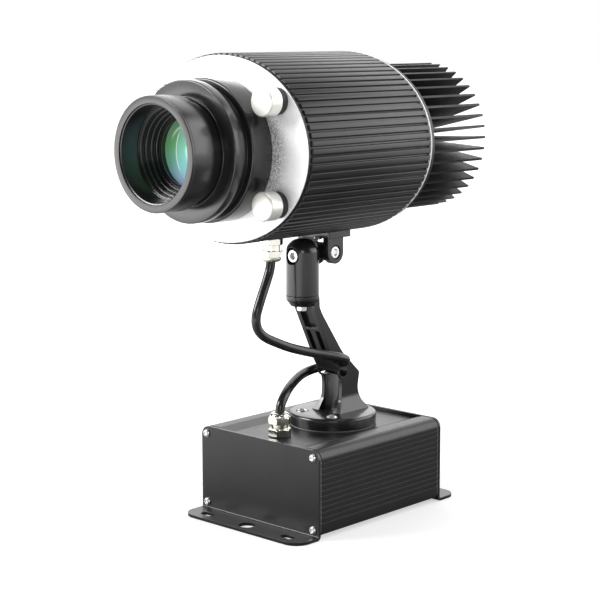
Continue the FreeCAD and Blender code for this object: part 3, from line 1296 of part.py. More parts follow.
def optics_frame():
    half_width = HEAD_HALF_WIDTH - HEAD_WALL - FACE_GAP
    half_height = HEAD_HALF_HEIGHT - HEAD_WALL - FACE_GAP
    frame = oval(half_width, half_height, FRAME_FRONT, FRAME_BACK)
    for x, z in channel_places():
        frame = frame.cut(rod_y(x, z, FRAME_FRONT - 1, FRAME_BACK + 1, CHANNEL_RADIUS + FACE_GAP))
        angle = math.degrees(math.atan2(z - HEAD_HEIGHT, x))
        half = WEB_HALF_THICK + FACE_GAP
        web = block(0, WEB_REACH + FACE_GAP, FRAME_FRONT - 1, FRAME_BACK + 1, -half, half)
        web.rotate(Vector(0, 0, 0), Y_AXIS, -angle)
        web.translate(Vector(x, 0, z))
        frame = frame.cut(web)
    frame = frame.cut(rod_y(0, HEAD_HEIGHT, FRAME_FRONT - 1, FRAME_BACK + 1, HUB_RADIUS + RUNNING_GAP))
    frame = frame.cut(rod_y(GEAR_DISTANCE, HEAD_HEIGHT, FRAME_FRONT - 1, FRAME_BACK + 1,
                            MOTOR_NOSE_RADIUS + HOLE_GAP))
    room = GLAND_ACROSS_FLATS / 2 + GLAND_NUT_ROOM
    frame = frame.cut(block(-room, room, FRAME_FRONT - 1, FRAME_BACK + 1,
                            HEAD_LOW, HEAD_LOW + HEAD_WALL + room))
    for x, z in standoff_places():
        frame = frame.cut(rod_y(x, z, FRAME_FRONT - 1, FRAME_BACK + 1, PLATE_SCREW_RADIUS + HOLE_GAP))
    return frame


def frame_standoffs():
    """Four spacers between the front plate and the optics frame, with a screw at each end."""
    pieces = []
    screw = pan_screw(PLATE_SCREW_HEAD, PLATE_SCREW_CROWN, PLATE_SCREW_RADIUS, STANDOFF_SCREW_LENGTH)
    flush = pan_screw(PLATE_SCREW_HEAD, FLUSH_CROWN, PLATE_SCREW_RADIUS, STANDOFF_SCREW_LENGTH)
    for x, z in standoff_places():
        spacer = rod_y(x, z, TUBE_FRONT, FRAME_FRONT, STANDOFF_RADIUS)
        spacer = spacer.cut(rod_y(x, z, TUBE_FRONT - 1, FRAME_FRONT + 1, PLATE_SCREW_RADIUS + THREAD_GAP))
        pieces.append(spacer)
        pieces.append(stood(screw, Vector(x, FRAME_BACK, z), Y_AXIS))
        pieces.append(stood(flush, Vector(x, HEAD_FRONT + FLUSH_DEPTH, z), Vector(0, -1, 0)))
    return pieces


def gobo_motor():
    x = GEAR_DISTANCE
    back = FRAME_BACK + MOTOR_LENGTH
    can = turned_y([(0, FRAME_BACK), (MOTOR_RADIUS, FRAME_BACK), (MOTOR_RADIUS, back, 1.0), (0, back)],
                   x, HEAD_HEIGHT)
    nose = rod_y(x, HEAD_HEIGHT, FRAME_FRONT, FRAME_BACK, MOTOR_NOSE_RADIUS)
    half = MOTOR_LUG_HALF_WIDTH
    corner = half - 0.1
    lug = plate_y([(x - half, HEAD_HEIGHT - MOTOR_LUG, corner), (x + half, HEAD_HEIGHT - MOTOR_LUG, corner),
                   (x + half, HEAD_HEIGHT + MOTOR_LUG, corner), (x - half, HEAD_HEIGHT + MOTOR_LUG, corner)],
                  FRAME_BACK, FRAME_BACK + 1.0)
    body = joined([can, nose, lug])
    return body.cut(rod_y(x, HEAD_HEIGHT, FRAME_FRONT - 1, FRAME_BACK + MOTOR_SHAFT_REACH + 1,
                          MOTOR_SHAFT_RADIUS + RUNNING_GAP))


def drive_pinion():
    x = GEAR_DISTANCE
    turn = 180.0 / PINION_TEETH if PINION_TEETH % 2 == 0 else 0.0
    pinion = gear(PINION_TEETH, x, HEAD_HEIGHT, GEAR_FRONT, GEAR_BACK, turn)
    shaft = rod_y(x, HEAD_HEIGHT, GEAR_BACK, FRAME_BACK + MOTOR_SHAFT_REACH, MOTOR_SHAFT_RADIUS)
    return joined([pinion, shaft])


# Light source and heat sink

def condenser_holder():
    outer = CONDENSER_TUBE_RADIUS
    bore = CONDENSER_BORE
    back = REAR_PLATE_Y
    flange = back - CONDENSER_FLANGE_THICK
    lip = bore - CONDENSER_LIP
    front_seat = CONDENSER_FRONT + CONDENSER_LIP_DEPTH
    holder = turned_y([(bore, back), (CONDENSER_FLANGE, back), (CONDENSER_FLANGE, flange),
                       (outer, flange), (outer, CONDENSER_FRONT, 1.0), (lip, CONDENSER_FRONT),
                       (lip, front_seat), (bore, front_seat)])
    for x, z in holder_screw_places():
        holder = holder.cut(rod_y(x, z, flange - 1, back + 1, PLATE_SCREW_RADIUS + HOLE_GAP))
    return holder


def holder_screw_places():
    return ring_places(CONDENSER_FLANGE - CONDENSER_SCREW_INSET, 3, 90)


def condenser_places():
    """Where the front and the rear condenser lens begin."""
    first = CONDENSER_FRONT + CONDENSER_LIP_DEPTH
    return first, first + CONDENSER_LENS_THICK + CONDENSER_SPACING


def condenser_lenses():
    """Two plano-convex lenses, crown to crown."""
    radius = CONDENSER_BORE - HOLE_GAP
    first, second = condenser_places()
    front = lens(radius, CONDENSER_LENS_THICK, first, 0.0, CAP_HEIGHT)
    rear = lens(radius, CONDENSER_LENS_THICK, second, CAP_HEIGHT, 0.0)
    return front, rear


def condenser_spacers():
    """Thin tubes that hold the condenser lenses apart and off the lamp board."""
    radius = CONDENSER_BORE - HOLE_GAP
    first, second = condenser_places()
    lamp_front = LAMP_Y - LAMP_BOARD_THICK
    spacers = []
    for y0, y1 in ((first + CONDENSER_LENS_THICK - CAP_HEIGHT, second + CAP_HEIGHT),
                   (second + CONDENSER_LENS_THICK, lamp_front)):
        inner = radius - CONDENSER_SPACER_WALL
        spacers.append(turned_y([(inner, y0), (radius, y0), (radius, y1), (inner, y1)]))
    return spacers


def lamp_board():
    board = rod_y(0, HEAD_HEIGHT, LAMP_Y - LAMP_BOARD_THICK, LAMP_Y, CONDENSER_BORE - HOLE_GAP)
    half = EMITTER_SIZE / 2
    front = LAMP_Y - LAMP_BOARD_THICK
    emitter = block(-half, half, front - EMITTER_THICK, front, HEAD_HEIGHT - half, HEAD_HEIGHT + half)
    return board, emitter


def rear_gasket():
    inset = REAR_GASKET_INSET
    ring = oval(HEAD_HALF_WIDTH - inset, HEAD_HALF_HEIGHT - inset, HEAD_REAR, REAR_PLATE_Y)
    ring = ring.cut(oval(HEAD_HALF_WIDTH - HEAD_WALL, HEAD_HALF_HEIGHT - HEAD_WALL,
                         HEAD_REAR - 1, REAR_PLATE_Y + 1))
    for x, z in channel_places():
        ring = ring.cut(rod_y(x, z, HEAD_REAR - 1, REAR_PLATE_Y + 1, PLATE_SCREW_RADIUS + HOLE_GAP))
    return ring


def rear_plate():
    inset = REAR_PLATE_INSET
    plate = oval(HEAD_HALF_WIDTH - inset, HEAD_HALF_HEIGHT - inset, REAR_PLATE_Y, SINK_Y)
    plate = plate.cut(rod_y(0, HEAD_HEIGHT, REAR_PLATE_Y - 1, SINK_Y + 1, SINK_BOSS_RADIUS + FIT_GAP))
    for x, z in channel_places():
        plate = plate.cut(rod_y(x, z, REAR_PLATE_Y - 1, SINK_Y + 1, PLATE_SCREW_RADIUS + HOLE_GAP))
    for x, z in sink_screw_places():
        plate = plate.cut(rod_y(x, z, REAR_PLATE_Y - 1, SINK_Y + 1, PLATE_SCREW_RADIUS + HOLE_GAP))
    for x, z in holder_screw_places():
        plate = plate.cut(rod_y(x, z, REAR_PLATE_Y - 1, SINK_Y + 1, PLATE_SCREW_RADIUS + THREAD_GAP))
    return plate


def sink_screw_places():
    return ring_places(SINK_SCREW_RING, 4, 45)


def rear_screws():
    """Screws of the rear plate, of the heat sink and of the condenser holder."""
    screw = pan_screw(PLATE_SCREW_HEAD, PLATE_SCREW_CROWN, PLATE_SCREW_RADIUS, REAR_SCREW_LENGTH)
    pieces = [stood(screw, Vector(x, SINK_Y, z), Y_AXIS) for x, z in channel_places()]
    short = pan_screw(PLATE_SCREW_HEAD, PLATE_SCREW_CROWN, PLATE_SCREW_RADIUS,
                      REAR_PLATE_THICK + SINK_BASE - 0.8)
    pieces += [stood(short, Vector(x, REAR_PLATE_Y, z), Vector(0, -1, 0)) for x, z in sink_screw_places()]
    holder = pan_screw(PLATE_SCREW_HEAD, PLATE_SCREW_CROWN, PLATE_SCREW_RADIUS,
                       CONDENSER_FLANGE_THICK + REAR_PLATE_THICK - 0.4)
    pieces += [stood(holder, Vector(x, REAR_PLATE_Y - CONDENSER_FLANGE_THICK, z), Vector(0, -1, 0))
               for x, z in holder_screw_places()]
    return pieces


def heat_sink():
    """Round base with a core and thin radial blades whose ends slope in to a hollow."""
    corners = []
    half = SINK_BLADE_THICK / 2
    core_lean = math.asin(half / SINK_CORE)
    rim_lean = math.asin(half / SINK_RADIUS)
    for i in range(SINK_BLADES):
        middle = 2 * math.pi * i / SINK_BLADES
        for radius, lean in ((SINK_CORE, -core_lean), (SINK_RADIUS, -rim_lean),
                             (SINK_RADIUS, rim_lean), (SINK_CORE, core_lean)):
            corners.append((radius * math.cos(middle + lean),
                            HEAD_HEIGHT + radius * math.sin(middle + lean)))
    start = SINK_Y + SINK_BASE - 0.5
    blades = plate_y(corners, start, SINK_END)
    drop = SINK_SLANT * SINK_RADIUS
    hollow = turned_y([(0, SINK_END + 5), (0, SINK_END - drop), (SINK_RADIUS, SINK_END),
                       (SINK_RADIUS + 6, SINK_END + 6 * SINK_SLANT), (SINK_RADIUS + 6, SINK_END + 10),
                       (0, SINK_END + 10)])
    blades = blades.cut(hollow)
    base = rod_y(0, HEAD_HEIGHT, SINK_Y, SINK_Y + SINK_BASE, SINK_RADIUS)
    boss = rod_y(0, HEAD_HEIGHT, LAMP_Y, SINK_Y + 1, SINK_BOSS_RADIUS)
    whole = joined([base, boss, blades])
    for x, z in sink_screw_places():
        whole = whole.cut(rod_y(x, z, SINK_Y - 1, SINK_Y + SINK_BASE - 0.6, PLATE_SCREW_RADIUS + THREAD_GAP))
    return whole


# Link cable from the head to the driver box

UPPER_ROUTE = [(0.0, -50.0, 187.5), (0.0, -50.0, 176.0), (-0.2, -54.7, 164.7), (1.3, -62.6, 152.3),
               (0.8, -66.3, 142.1), (1.0, -64.9, 134.4), (2.7, -60.2, 128.6), (4.1, -49.1, 123.4),
               (5.3, -37.0, 118.3), (8.5, -20.2, 113.2), (13.1, -7.6, 109.9), (16.2, 1.1, 107.8),
               (16.1, 7.2, 105.4), (11.4, 11.2, 102.7), (4.0, 11.0, 100.5)]
LOWER_ROUTE = [(4.0, 11.0, 100.5), (-4.0, 10.784, 98.122), (-11.4, 11.2, 95.8), (-16.0, 7.7, 94.0),
               (-16.8, 1.0, 92.8), (-14.0, -8.6, 91.7), (-9.5, -19.6, 89.5), (-4.8, -29.8, 87.0),
               (-1.2, -37.4, 83.4), (0.0, -42.8, 77.5), (0.0, -42.8, 68.5)]


def cable(route, name):
    """A round cable: straight runs joined by arcs as large as the runs allow."""
    points = [Vector(*point) for point in route]
    edges = []
    here = points[0]
    radii = []
    for i in range(1, len(points) - 1):
        back = points[i - 1] - points[i]
        ahead = points[i + 1] - points[i]
        shorter = min(back.Length, ahead.Length)
        back.normalize()
        ahead.normalize()
        turn = math.pi - back.getAngle(ahead)
        radius = 0.45 * shorter / math.tan(turn / 2)
        radii.append(round(radius, 1))
        reach = 0.45 * shorter
        start = points[i] + back * reach
        end = points[i] + ahead * reach
        bisector = back + ahead
        bisector.normalize()
        middle = points[i] + bisector * (radius / math.cos(turn / 2) - radius)
        edges.append(Part.LineSegment(here, start).toShape())
        edges.append(Part.Arc(start, middle, end).toShape())
        here = end
    edges.append(Part.LineSegment(here, points[-1]).toShape())
    path = Part.Wire(edges)
    first = points[1] - points[0]
    circle = Part.Circle(points[0], first, CABLE_DIAMETER / 2)
    section = Part.Wire(circle.toShape())
    tube = path.makePipeShell([section], True, False)
    length = path.Length
    expected = math.pi * CABLE_DIAMETER ** 2 / 4 * length
    print(name, "radii", radii, "length", round(length, 1), "volume share",
          round(tube.Volume / expected, 4))
    return tube


def build():
    save("driver_housing", driver_housing())
    save("front_end_plate", end_plate(-1, False))
    save("rear_end_plate", end_plate(1, True))
    save("end_gaskets", end_gasket(-1), end_gasket(1))
    save("end_plate_screws", *end_plate_screws())
    save("driver_board", driver_board())
    save("transformer", *transformer())
    save("capacitors", *capacitors())
    save("terminal_blocks", *terminal_blocks())
    save("power_transistor", *power_transistor())
    driver = placed_gland(Vector(0, DRIVER_GLAND_Y, TOP_FLOOR), Z_AXIS, BOX_WALL)
    mains = placed_gland(Vector(0, PLATE_OUTER_Y, MAINS_GLAND_HEIGHT), Y_AXIS, PLATE_THICK)
    head = placed_gland(Vector(0, HEAD_GLAND_Y, HEAD_LOW + GLAND_SEAL), Vector(0, 0, -1),
                        HEAD_WALL - GLAND_SEAL)
    save("driver_gland", *driver[:3])
    save("mains_gland", *mains[:3])
    save("head_gland", *head[:3])
    save("driver_gland_seals", driver[3], mains[3])
    save("head_gland_seal", head[3])
    save("bracket_gasket", bracket_gasket())
    save("bracket_arm", bracket_arm())
    save("bracket_screws", *bracket_screws())
    save("bracket_nuts", *bracket_nuts())
    save("pan_bolt", pan_bolt())
    save("swivel_post", swivel_post())
    save("lean_screw", lean_screw())
    save("knuckle", knuckle())
    save("head_mount", head_mount())
    save("head_mount_screws", *head_mount_screws())
    save("tilt_bolt", *tilt_bolt())
    save("head_tube", head_tube())
    save("front_plate", front_plate())
    save("knob_collars", *[knob_collar(x, z) for x, z in channel_places()])
    for i, (x, z) in enumerate(channel_places()):
        save("thumb_knob_" + str(i + 1), thumb_knob(x, z))
    save("lens_mount", lens_mount())
    save("barrel_screws", *barrel_screws())
    save("focus_ring", focus_ring())
    save("lens_barrel", lens_barrel())
    save("front_lens", front_lens())
    save("rear_lens", rear_lens())
    save("lens_rings", *lens_rings())
    save("gobo_wheel", gobo_wheel())
    save("gobo_disc", gobo_disc())
    save("gobo_clips", *gobo_clips())
    save("optics_frame", optics_frame())
    save("frame_standoffs", *frame_standoffs())
    save("gobo_motor", gobo_motor())
    save("drive_pinion", drive_pinion())
    save("condenser_holder", condenser_holder())
    save("condenser_lenses", *condenser_lenses())
    save("condenser_spacers", *condenser_spacers())
    save("lamp_board", *lamp_board())
    save("rear_gasket", rear_gasket())
    save("rear_plate", rear_plate())
    save("rear_screws", *rear_screws())
    save("heat_sink", heat_sink())
    save("link_cable_upper", cable(UPPER_ROUTE, "upper"))
    save("link_cable_lower", cable(LOWER_ROUTE, "lower"))


build()
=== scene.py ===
"""Looks of the gobo projector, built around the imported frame. Metres, +Z up, the lens faces -Y."""
import json
import math

import bmesh
import bpy
from mathutils import Matrix, Vector


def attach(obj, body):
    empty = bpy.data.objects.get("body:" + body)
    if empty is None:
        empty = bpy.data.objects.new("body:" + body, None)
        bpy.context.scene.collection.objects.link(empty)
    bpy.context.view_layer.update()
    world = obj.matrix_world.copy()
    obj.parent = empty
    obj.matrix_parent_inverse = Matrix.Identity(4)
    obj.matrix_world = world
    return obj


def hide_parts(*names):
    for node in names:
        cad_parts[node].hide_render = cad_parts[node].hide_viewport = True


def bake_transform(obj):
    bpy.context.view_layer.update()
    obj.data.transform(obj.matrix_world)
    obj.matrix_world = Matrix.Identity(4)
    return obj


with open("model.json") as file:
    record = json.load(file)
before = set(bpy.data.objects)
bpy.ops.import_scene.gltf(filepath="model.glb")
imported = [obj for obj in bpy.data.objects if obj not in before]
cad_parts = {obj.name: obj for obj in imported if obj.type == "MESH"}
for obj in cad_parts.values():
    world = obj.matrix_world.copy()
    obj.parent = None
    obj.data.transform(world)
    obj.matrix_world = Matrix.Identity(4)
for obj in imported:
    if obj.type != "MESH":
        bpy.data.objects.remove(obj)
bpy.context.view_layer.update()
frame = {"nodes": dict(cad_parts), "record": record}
MM = 0.001

# Camera of the photograph
CAMERA_PLACE = Vector((0.75081, -0.82133, 0.32855))
CAMERA_RIGHT = Vector((0.72907, 0.68444, -0.00271))
CAMERA_UP = Vector((-0.10875, 0.11974, 0.98683))
CAMERA_LENS = 97.956
CAMERA_SENSOR = 36.0

# Studio, as reflections see it: the way to each bright patch, where it starts and is full, and its level
ROOM_LEVEL = 0.10
PATCHES = [((0.62, 0.72, 0.31), 0.76, 0.92, 2.8), ((-0.50, 0.70, 0.52), 0.72, 0.96, 1.7)]

# Lights: name, place, width, height and power. All aim at the middle of the object
LIGHT_AIM = (0.0, -0.05, 0.20)
LIGHTS = [("front_left_box", (-1.00, -1.15, 0.95), 0.9, 0.7, 30.0),
          ("front_left_panel", (-0.85, -0.95, 0.22), 0.9, 0.42, 2.0),
          ("behind_camera", (1.05, -1.10, 0.50), 0.5, 0.4, 2.6),
          ("top_box", (0.20, -0.15, 1.40), 0.9, 0.9, 6.0)]

# Floor: its colour and glow to the camera, and to reflections, which see it dark near the object
FLOOR_SIZE = 12.0
FLOOR_DROP = 0.0002
FLOOR_SHOWN = (0.55, 0.55, 0.55, 1.0)
FLOOR_MIRRORED = (0.12, 0.12, 0.12, 1.0)
SHOWN_REACH = (0.10, 0.70)
SHOWN_GLOW = (0.55, 0.45)
FAR_REACH = (0.35, 1.40)
FAR_GLOW = 1.0
FRONT_WAY = (-0.69, -0.72, 0.0)
FRONT_REACH = (0.0, 0.45)
FRONT_GLOW = 1.3
NEAR_GLOW = 0.06

# Link cable: the same route points as the solids, in metres
CABLE_DIAMETER = 0.0064
CABLE_BODIES = ["root", "post", "knuckle", "head"]
UPPER_ROUTE = [(0.0, -0.0500, 0.1875), (0.0, -0.0500, 0.1760), (-0.0002, -0.0547, 0.1647),
               (0.0013, -0.0626, 0.1523), (0.0008, -0.0663, 0.1421), (0.0010, -0.0649, 0.1344),
               (0.0027, -0.0602, 0.1286), (0.0041, -0.0491, 0.1234), (0.0053, -0.0370, 0.1183),
               (0.0085, -0.0202, 0.1132), (0.0131, -0.0076, 0.1099), (0.0162, 0.0011, 0.1078),
               (0.0161, 0.0072, 0.1054), (0.0114, 0.0112, 0.1027), (0.0040, 0.0110, 0.1005)]
LOWER_ROUTE = [(0.0040, 0.0110, 0.1005), (-0.0040, 0.010784, 0.098122), (-0.0114, 0.0112, 0.0958),
               (-0.0160, 0.0077, 0.0940), (-0.0168, 0.0010, 0.0928), (-0.0140, -0.0086, 0.0917),
               (-0.0095, -0.0196, 0.0895), (-0.0048, -0.0298, 0.0870), (-0.0012, -0.0374, 0.0834),
               (0.0, -0.0428, 0.0775), (0.0, -0.0428, 0.0685)]

# Height of the lens axis, in metres
HEAD_Z = 0.255

# Sizes in millimetres that the fine pieces share with the solids they stand for
OVAL = (77.5, 61.0)
HEAD_FRONT = -95.5
TUBE_SPAN = (-92.5, 21.7)
TUBE_WALL = 5.0
RIB_COUNT = 86
RIB_DEPTH = 1.2
RIB_CREST_SHARE = 0.68
RIB_FLANK_SHARE = 0.12
RIB_SHOULDER = [(0.0, 0.40), (0.09, 0.16), (0.26, 0.03), (0.5, 0.0)]
GROOVE_ROUND = (0.14, 0.18)
TUBE_EDGE = [(0.35, 0.0), (0.10, 0.10), (0.0, 0.35)]
PLATE_INSET = 1.3
PLATE_THICK = 3.0
PLATE_EDGE = 0.45
PLATE_BORE = 34.4
GASKET_INSET = 0.05
GASKET_REAR = 23.0
GASKET_EDGE = 0.3
COVER_INSET = 1.0
COVER_REAR = 27.0
COVER_EDGE = 0.6
COVER_BORE = 21.75
KNOB_PLACES = [(x, z) for x in (-51.0, 51.0) for z in (-32.0, 32.0)]
KNOB_RADIUS = 9.2
KNOB_LENGTH = 10.7
KNOB_GAP = 0.3
KNOB_COLLAR = (8.4, 4.8)
STUD_RADIUS = 2.5
STUD_REAR = -78.0
COLLAR_BORE = 2.8
HOOD_FRONT = -154.0
HOOD_REAR = -135.5
HOOD_RADIUS = 36.2
HOOD_BORE = 30.3
BARREL_RADIUS = 32.9
BARREL_BORE = 29.9
BARREL_REAR = -84.0
BORE_STEPS = [(BARREL_BORE, -96.0), (20.15, -96.0), (20.15, -108.0), (17.95, -108.0), (17.95, -118.0)]
LENS_FRONT = -126.0
LENS_RADIUS = 22.7
LENS_SEAT = 22.85
THROAT_STEPS = 5
THROAT_PITCH = 3.2
THROAT_LIP = 0.7
THROAT_GROOVE = 1.76
MOUNT_RADIUS = 45.85
MOUNT_FRONT = -112.5
MOUNT_BORE = 32.96
MOUNT_NECK = (41.0, -119.7)
MOUNT_NOSE = (37.5, -123.8)
RING_RADIUS = 45.0
RING_SPAN = (-120.0, -126.7)
RING_BORE = 37.56
RING_LIP = (33.3, 34.6, -127.1)


def make_camera():
    data = bpy.data.cameras.new("photo_camera")
    data.sensor_width = CAMERA_SENSOR
    data.lens = CAMERA_LENS
    camera = bpy.data.objects.new("photo_camera", data)
    bpy.context.scene.collection.objects.link(camera)
    back = CAMERA_RIGHT.cross(CAMERA_UP)
    turn = Matrix((CAMERA_RIGHT, CAMERA_UP, back)).transposed()
    camera.matrix_world = Matrix.Translation(CAMERA_PLACE) @ turn.to_4x4()
    bpy.context.scene.camera = camera


def nurbs_curve(name, route, bevel=0.0):
    """A smooth curve whose control points are the route's points."""
    data = bpy.data.curves.new(name, "CURVE")
    data.dimensions = "3D"
    data.resolution_u = 16
    data.bevel_depth = bevel
    data.bevel_resolution = 8
    data.use_fill_caps = True
    spline = data.splines.new("NURBS")
    spline.points.add(len(route) - 1)
    for point, place in zip(spline.points, route):
        point.co = (*place, 1.0)
    spline.order_u = 3
    spline.use_endpoint_u = True
    piece = bpy.data.objects.new(name, data)
    bpy.context.scene.collection.objects.link(piece)
    return piece


def curve_points(route):
    """Points along the route's own spline."""
    guide = nurbs_curve("route_guide", route)
    bpy.context.view_layer.update()
    mesh = bpy.data.meshes.new_from_object(guide.evaluated_get(bpy.context.evaluated_depsgraph_get()))
    points = [vertex.co.copy() for vertex in mesh.vertices]
    bpy.data.objects.remove(guide)
    return points


def line_length(points):
    return sum((b - a).length for a, b in zip(points, points[1:]))


def tube_mesh(name, points, tangents, radius, sides=28):
    """A round tube through the points, with a cap at each end."""
    mesh = bpy.data.meshes.new(name)
    rings = []
    vertices = []
    normal = tangents[0].orthogonal().normalized()
    for point, tangent in zip(points, tangents):
        normal = (normal - tangent * normal.dot(tangent)).normalized()
        side = tangent.cross(normal)
        ring = []
        for i in range(sides):
            angle = 2 * math.pi * i / sides
            ring.append(len(vertices))
            vertices.append(point + (normal * math.cos(angle) + side * math.sin(angle)) * radius)
        rings.append(ring)
    faces = []
    for a, b in zip(rings, rings[1:]):
        for i in range(sides):
            j = (i + 1) % sides
            faces.append((a[i], a[j], b[j], b[i]))
    faces.append(tuple(reversed(rings[0])))
    faces.append(tuple(rings[-1]))
    mesh.from_pydata(vertices, [], faces)
    mesh.update()
    piece = bpy.data.objects.new(name, mesh)
    bpy.context.scene.collection.objects.link(piece)
    smooth_by_angle(mesh, 50.0)
    return piece


def smooth_by_angle(mesh, limit):
    """Smooth faces, with sharp edges where two faces meet at more than the limit."""
    work = bmesh.new()
    work.from_mesh(mesh)
    for face in work.faces:
        face.smooth = True
    for edge in work.edges:
        sharp = len(edge.link_faces) != 2 or edge.calc_face_angle(0.0) > math.radians(limit)
        edge.smooth = not sharp
    work.to_mesh(mesh)
    work.free()


def link_cable(material):
    """The upper stretch in three tube pieces of about equal length, and the fixed stretch, which rides on
    the root.
    """
    points = curve_points(UPPER_ROUTE)
    points.reverse()
    tangents = []
    for i in range(len(points)):
        before = points[max(0, i - 1)]
        after = points[min(len(points) - 1, i + 1)]
        tangents.append((after - before).normalized())
    total = line_length(points)
    count = len(CABLE_BODIES) - 1
    travelled = 0.0
    ends = [0]
    for i in range(1, len(points)):
        travelled += (points[i] - points[i - 1]).length
        if len(ends) < count and travelled > total * len(ends) / count:
            ends.append(i)
    ends.append(len(points) - 1)
    for k in range(count):
        first, last = ends[k], ends[k + 1]
        stretch = points[first:last + 1]
        piece = tube_mesh(f"link_cable_stretch_{k + 1}", stretch, tangents[first:last + 1],
                          CABLE_DIAMETER / 2)
        piece.data.materials.append(material)
        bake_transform(piece)
        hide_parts("link_cable_upper")
    lower = nurbs_curve("link_cable_fixed", LOWER_ROUTE, CABLE_DIAMETER / 2)
    lower.data.materials.append(material)
    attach(lower, "root")
    line_length(curve_points(LOWER_ROUTE))
    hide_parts("link_cable_lower")


# Materials. Depths and places are in metres

GRAIN_DEPTH = 0.00002
# Painted shade on the blasted plate beside the barrel on the right, standing in for the barrel's shadow and
# reflection: its reach from the axis, its side, its strength and its colour
PAINTED_SHADE_REACH = (0.062, 0.047)
PAINTED_SHADE_SIDE = (0.72, 0.95)
PAINTED_SHADE_SHARE = 0.85
PAINTED_SHADE_COLOUR = (0.16, 0.16, 0.16, 1.0)
RIM_SHADE = (0.012, 0.012, 0.012, 1.0)

# Colours painted on the front lens from bottom to top, standing in for its coating's reflections, and its
# painted pale reflection arcs, in metres across the lens
COATING = [(0.10, (0.34, 0.36, 0.60)), (0.34, (0.22, 0.44, 0.50)), (0.52, (0.16, 0.42, 0.30)),
           (0.74, (0.13, 0.36, 0.14)), (0.98, (0.12, 0.22, 0.14))]
COATING_TILT = 0.45
ARC_MIDDLE = 0.0225
ARC_RADIUS = 0.032
ARC_HEIGHT = (0.015, 0.009)
BAND_RADIUS = 0.0165
BAND_HEIGHT = (0.006, 0.012)
INNER_REFLECTION_COLOUR = (0.24, 0.66, 0.56, 1.0)
ARC_REFLECTION_COLOUR = (0.85, 0.97, 0.92, 1.0)
BAND_REFLECTION_COLOUR = (0.75, 0.95, 0.85, 1.0)


def shader(name):
    """A new material, its tree and its main shader."""
    material = bpy.data.materials.new(name)
    material.use_nodes = True
    tree = material.node_tree
    return material, tree, tree.nodes["Principled BSDF"]


def coordinates(tree, kind):
    return tree.nodes.new("ShaderNodeTexCoord").outputs[kind]


def noise(tree, scale, detail=3.0):
    texture = tree.nodes.new("ShaderNodeTexNoise")
    texture.inputs["Scale"].default_value = scale
    texture.inputs["Detail"].default_value = detail
    tree.links.new(coordinates(tree, "Object"), texture.inputs["Vector"])
    return texture.outputs["Fac"]


def spread(tree, value, low, high, start=0.35, end=0.65):
    """Maps a texture value to numbers or colours between low and high."""
    ramp = tree.nodes.new("ShaderNodeValToRGB")
    ramp.color_ramp.elements[0].position = start
    ramp.color_ramp.elements[1].position = end
    for element, level in zip(ramp.color_ramp.elements, (low, high)):
        if isinstance(level, (int, float)):
            level = (level, level, level)
        element.color = (*level, 1.0)
    tree.links.new(value, ramp.inputs["Fac"])
    return ramp.outputs["Color"]


def arithmetic(tree, operation, first, second=None, third=None):
    """One sum on values or sockets."""
    node = tree.nodes.new("ShaderNodeMath")
    node.operation = operation
    for socket, value in zip(node.inputs, (first, second, third)):
        if value is None:
            continue
        if isinstance(value, (int, float)):
            socket.default_value = value
        else:
            tree.links.new(value, socket)
    return node.outputs["Value"]


def share_between(tree, value, start, end):
    """Zero at the start, one at the end, smooth between."""
    node = tree.nodes.new("ShaderNodeMapRange")
    node.interpolation_type = "SMOOTHSTEP"
    node.inputs["From Min"].default_value = start
    node.inputs["From Max"].default_value = end
    tree.links.new(value, node.inputs["Value"])
    return node.outputs["Result"]


def share_along(tree, place, way):
    """How far a place or a way lies along another way."""
    node = tree.nodes.new("ShaderNodeVectorMath")
    node.operation = "DOT_PRODUCT"
    node.inputs[1].default_value = way
    tree.links.new(place, node.inputs[0])
    return node.outputs["Value"]


def mixed(tree, share, first, second):
    """Two colours mixed by a share; each is a socket or a plain colour."""
    node = tree.nodes.new("ShaderNodeMix")
    node.data_type = "RGBA"
    tree.links.new(share, node.inputs["Factor"])
    for socket, colour in ((node.inputs["A"], first), (node.inputs["B"], second)):
        if isinstance(colour, tuple):
            socket.default_value = colour
        else:
            tree.links.new(colour, socket)
    return node.outputs["Result"]


def bump(tree, main, height, strength, distance, before=None):
    """Fine relief on the surface, over rounded edges where they are given."""
    node = tree.nodes.new("ShaderNodeBump")
    node.inputs["Strength"].default_value = strength
    node.inputs["Distance"].default_value = distance
    tree.links.new(height, node.inputs["Height"])
    if before is not None:
        tree.links.new(before, node.inputs["Normal"])
    tree.links.new(node.outputs["Normal"], main.inputs["Normal"])


def rounded_edges(tree, radius):
    node = tree.nodes.new("ShaderNodeBevel")
    node.samples = 6
    node.inputs["Radius"].default_value = radius
    return node.outputs["Normal"]


def finish(name, low, high, rough, metallic=0.0, specular=0.5, grain=900.0, grain_strength=0.25,
           edge=0.0, coat=0.0, coat_rough=0.1, cloud=30.0):
    """A coated or bare surface: clouded colour, uneven gloss, fine grain and rounded edges."""
    material, tree, main = shader(name)
    main.inputs["Metallic"].default_value = metallic
    main.inputs["Specular IOR Level"].default_value = specular
    main.inputs["Coat Weight"].default_value = coat
    main.inputs["Coat Roughness"].default_value = coat_rough
    tree.links.new(spread(tree, noise(tree, cloud, 4.0), low, high), main.inputs["Base Color"])
    tree.links.new(spread(tree, noise(tree, cloud * 6), rough[0], rough[1]), main.inputs["Roughness"])
    start = rounded_edges(tree, edge) if edge > 0 else None
    bump(tree, main, noise(tree, grain, 2.0), grain_strength, GRAIN_DEPTH, start)
    return material


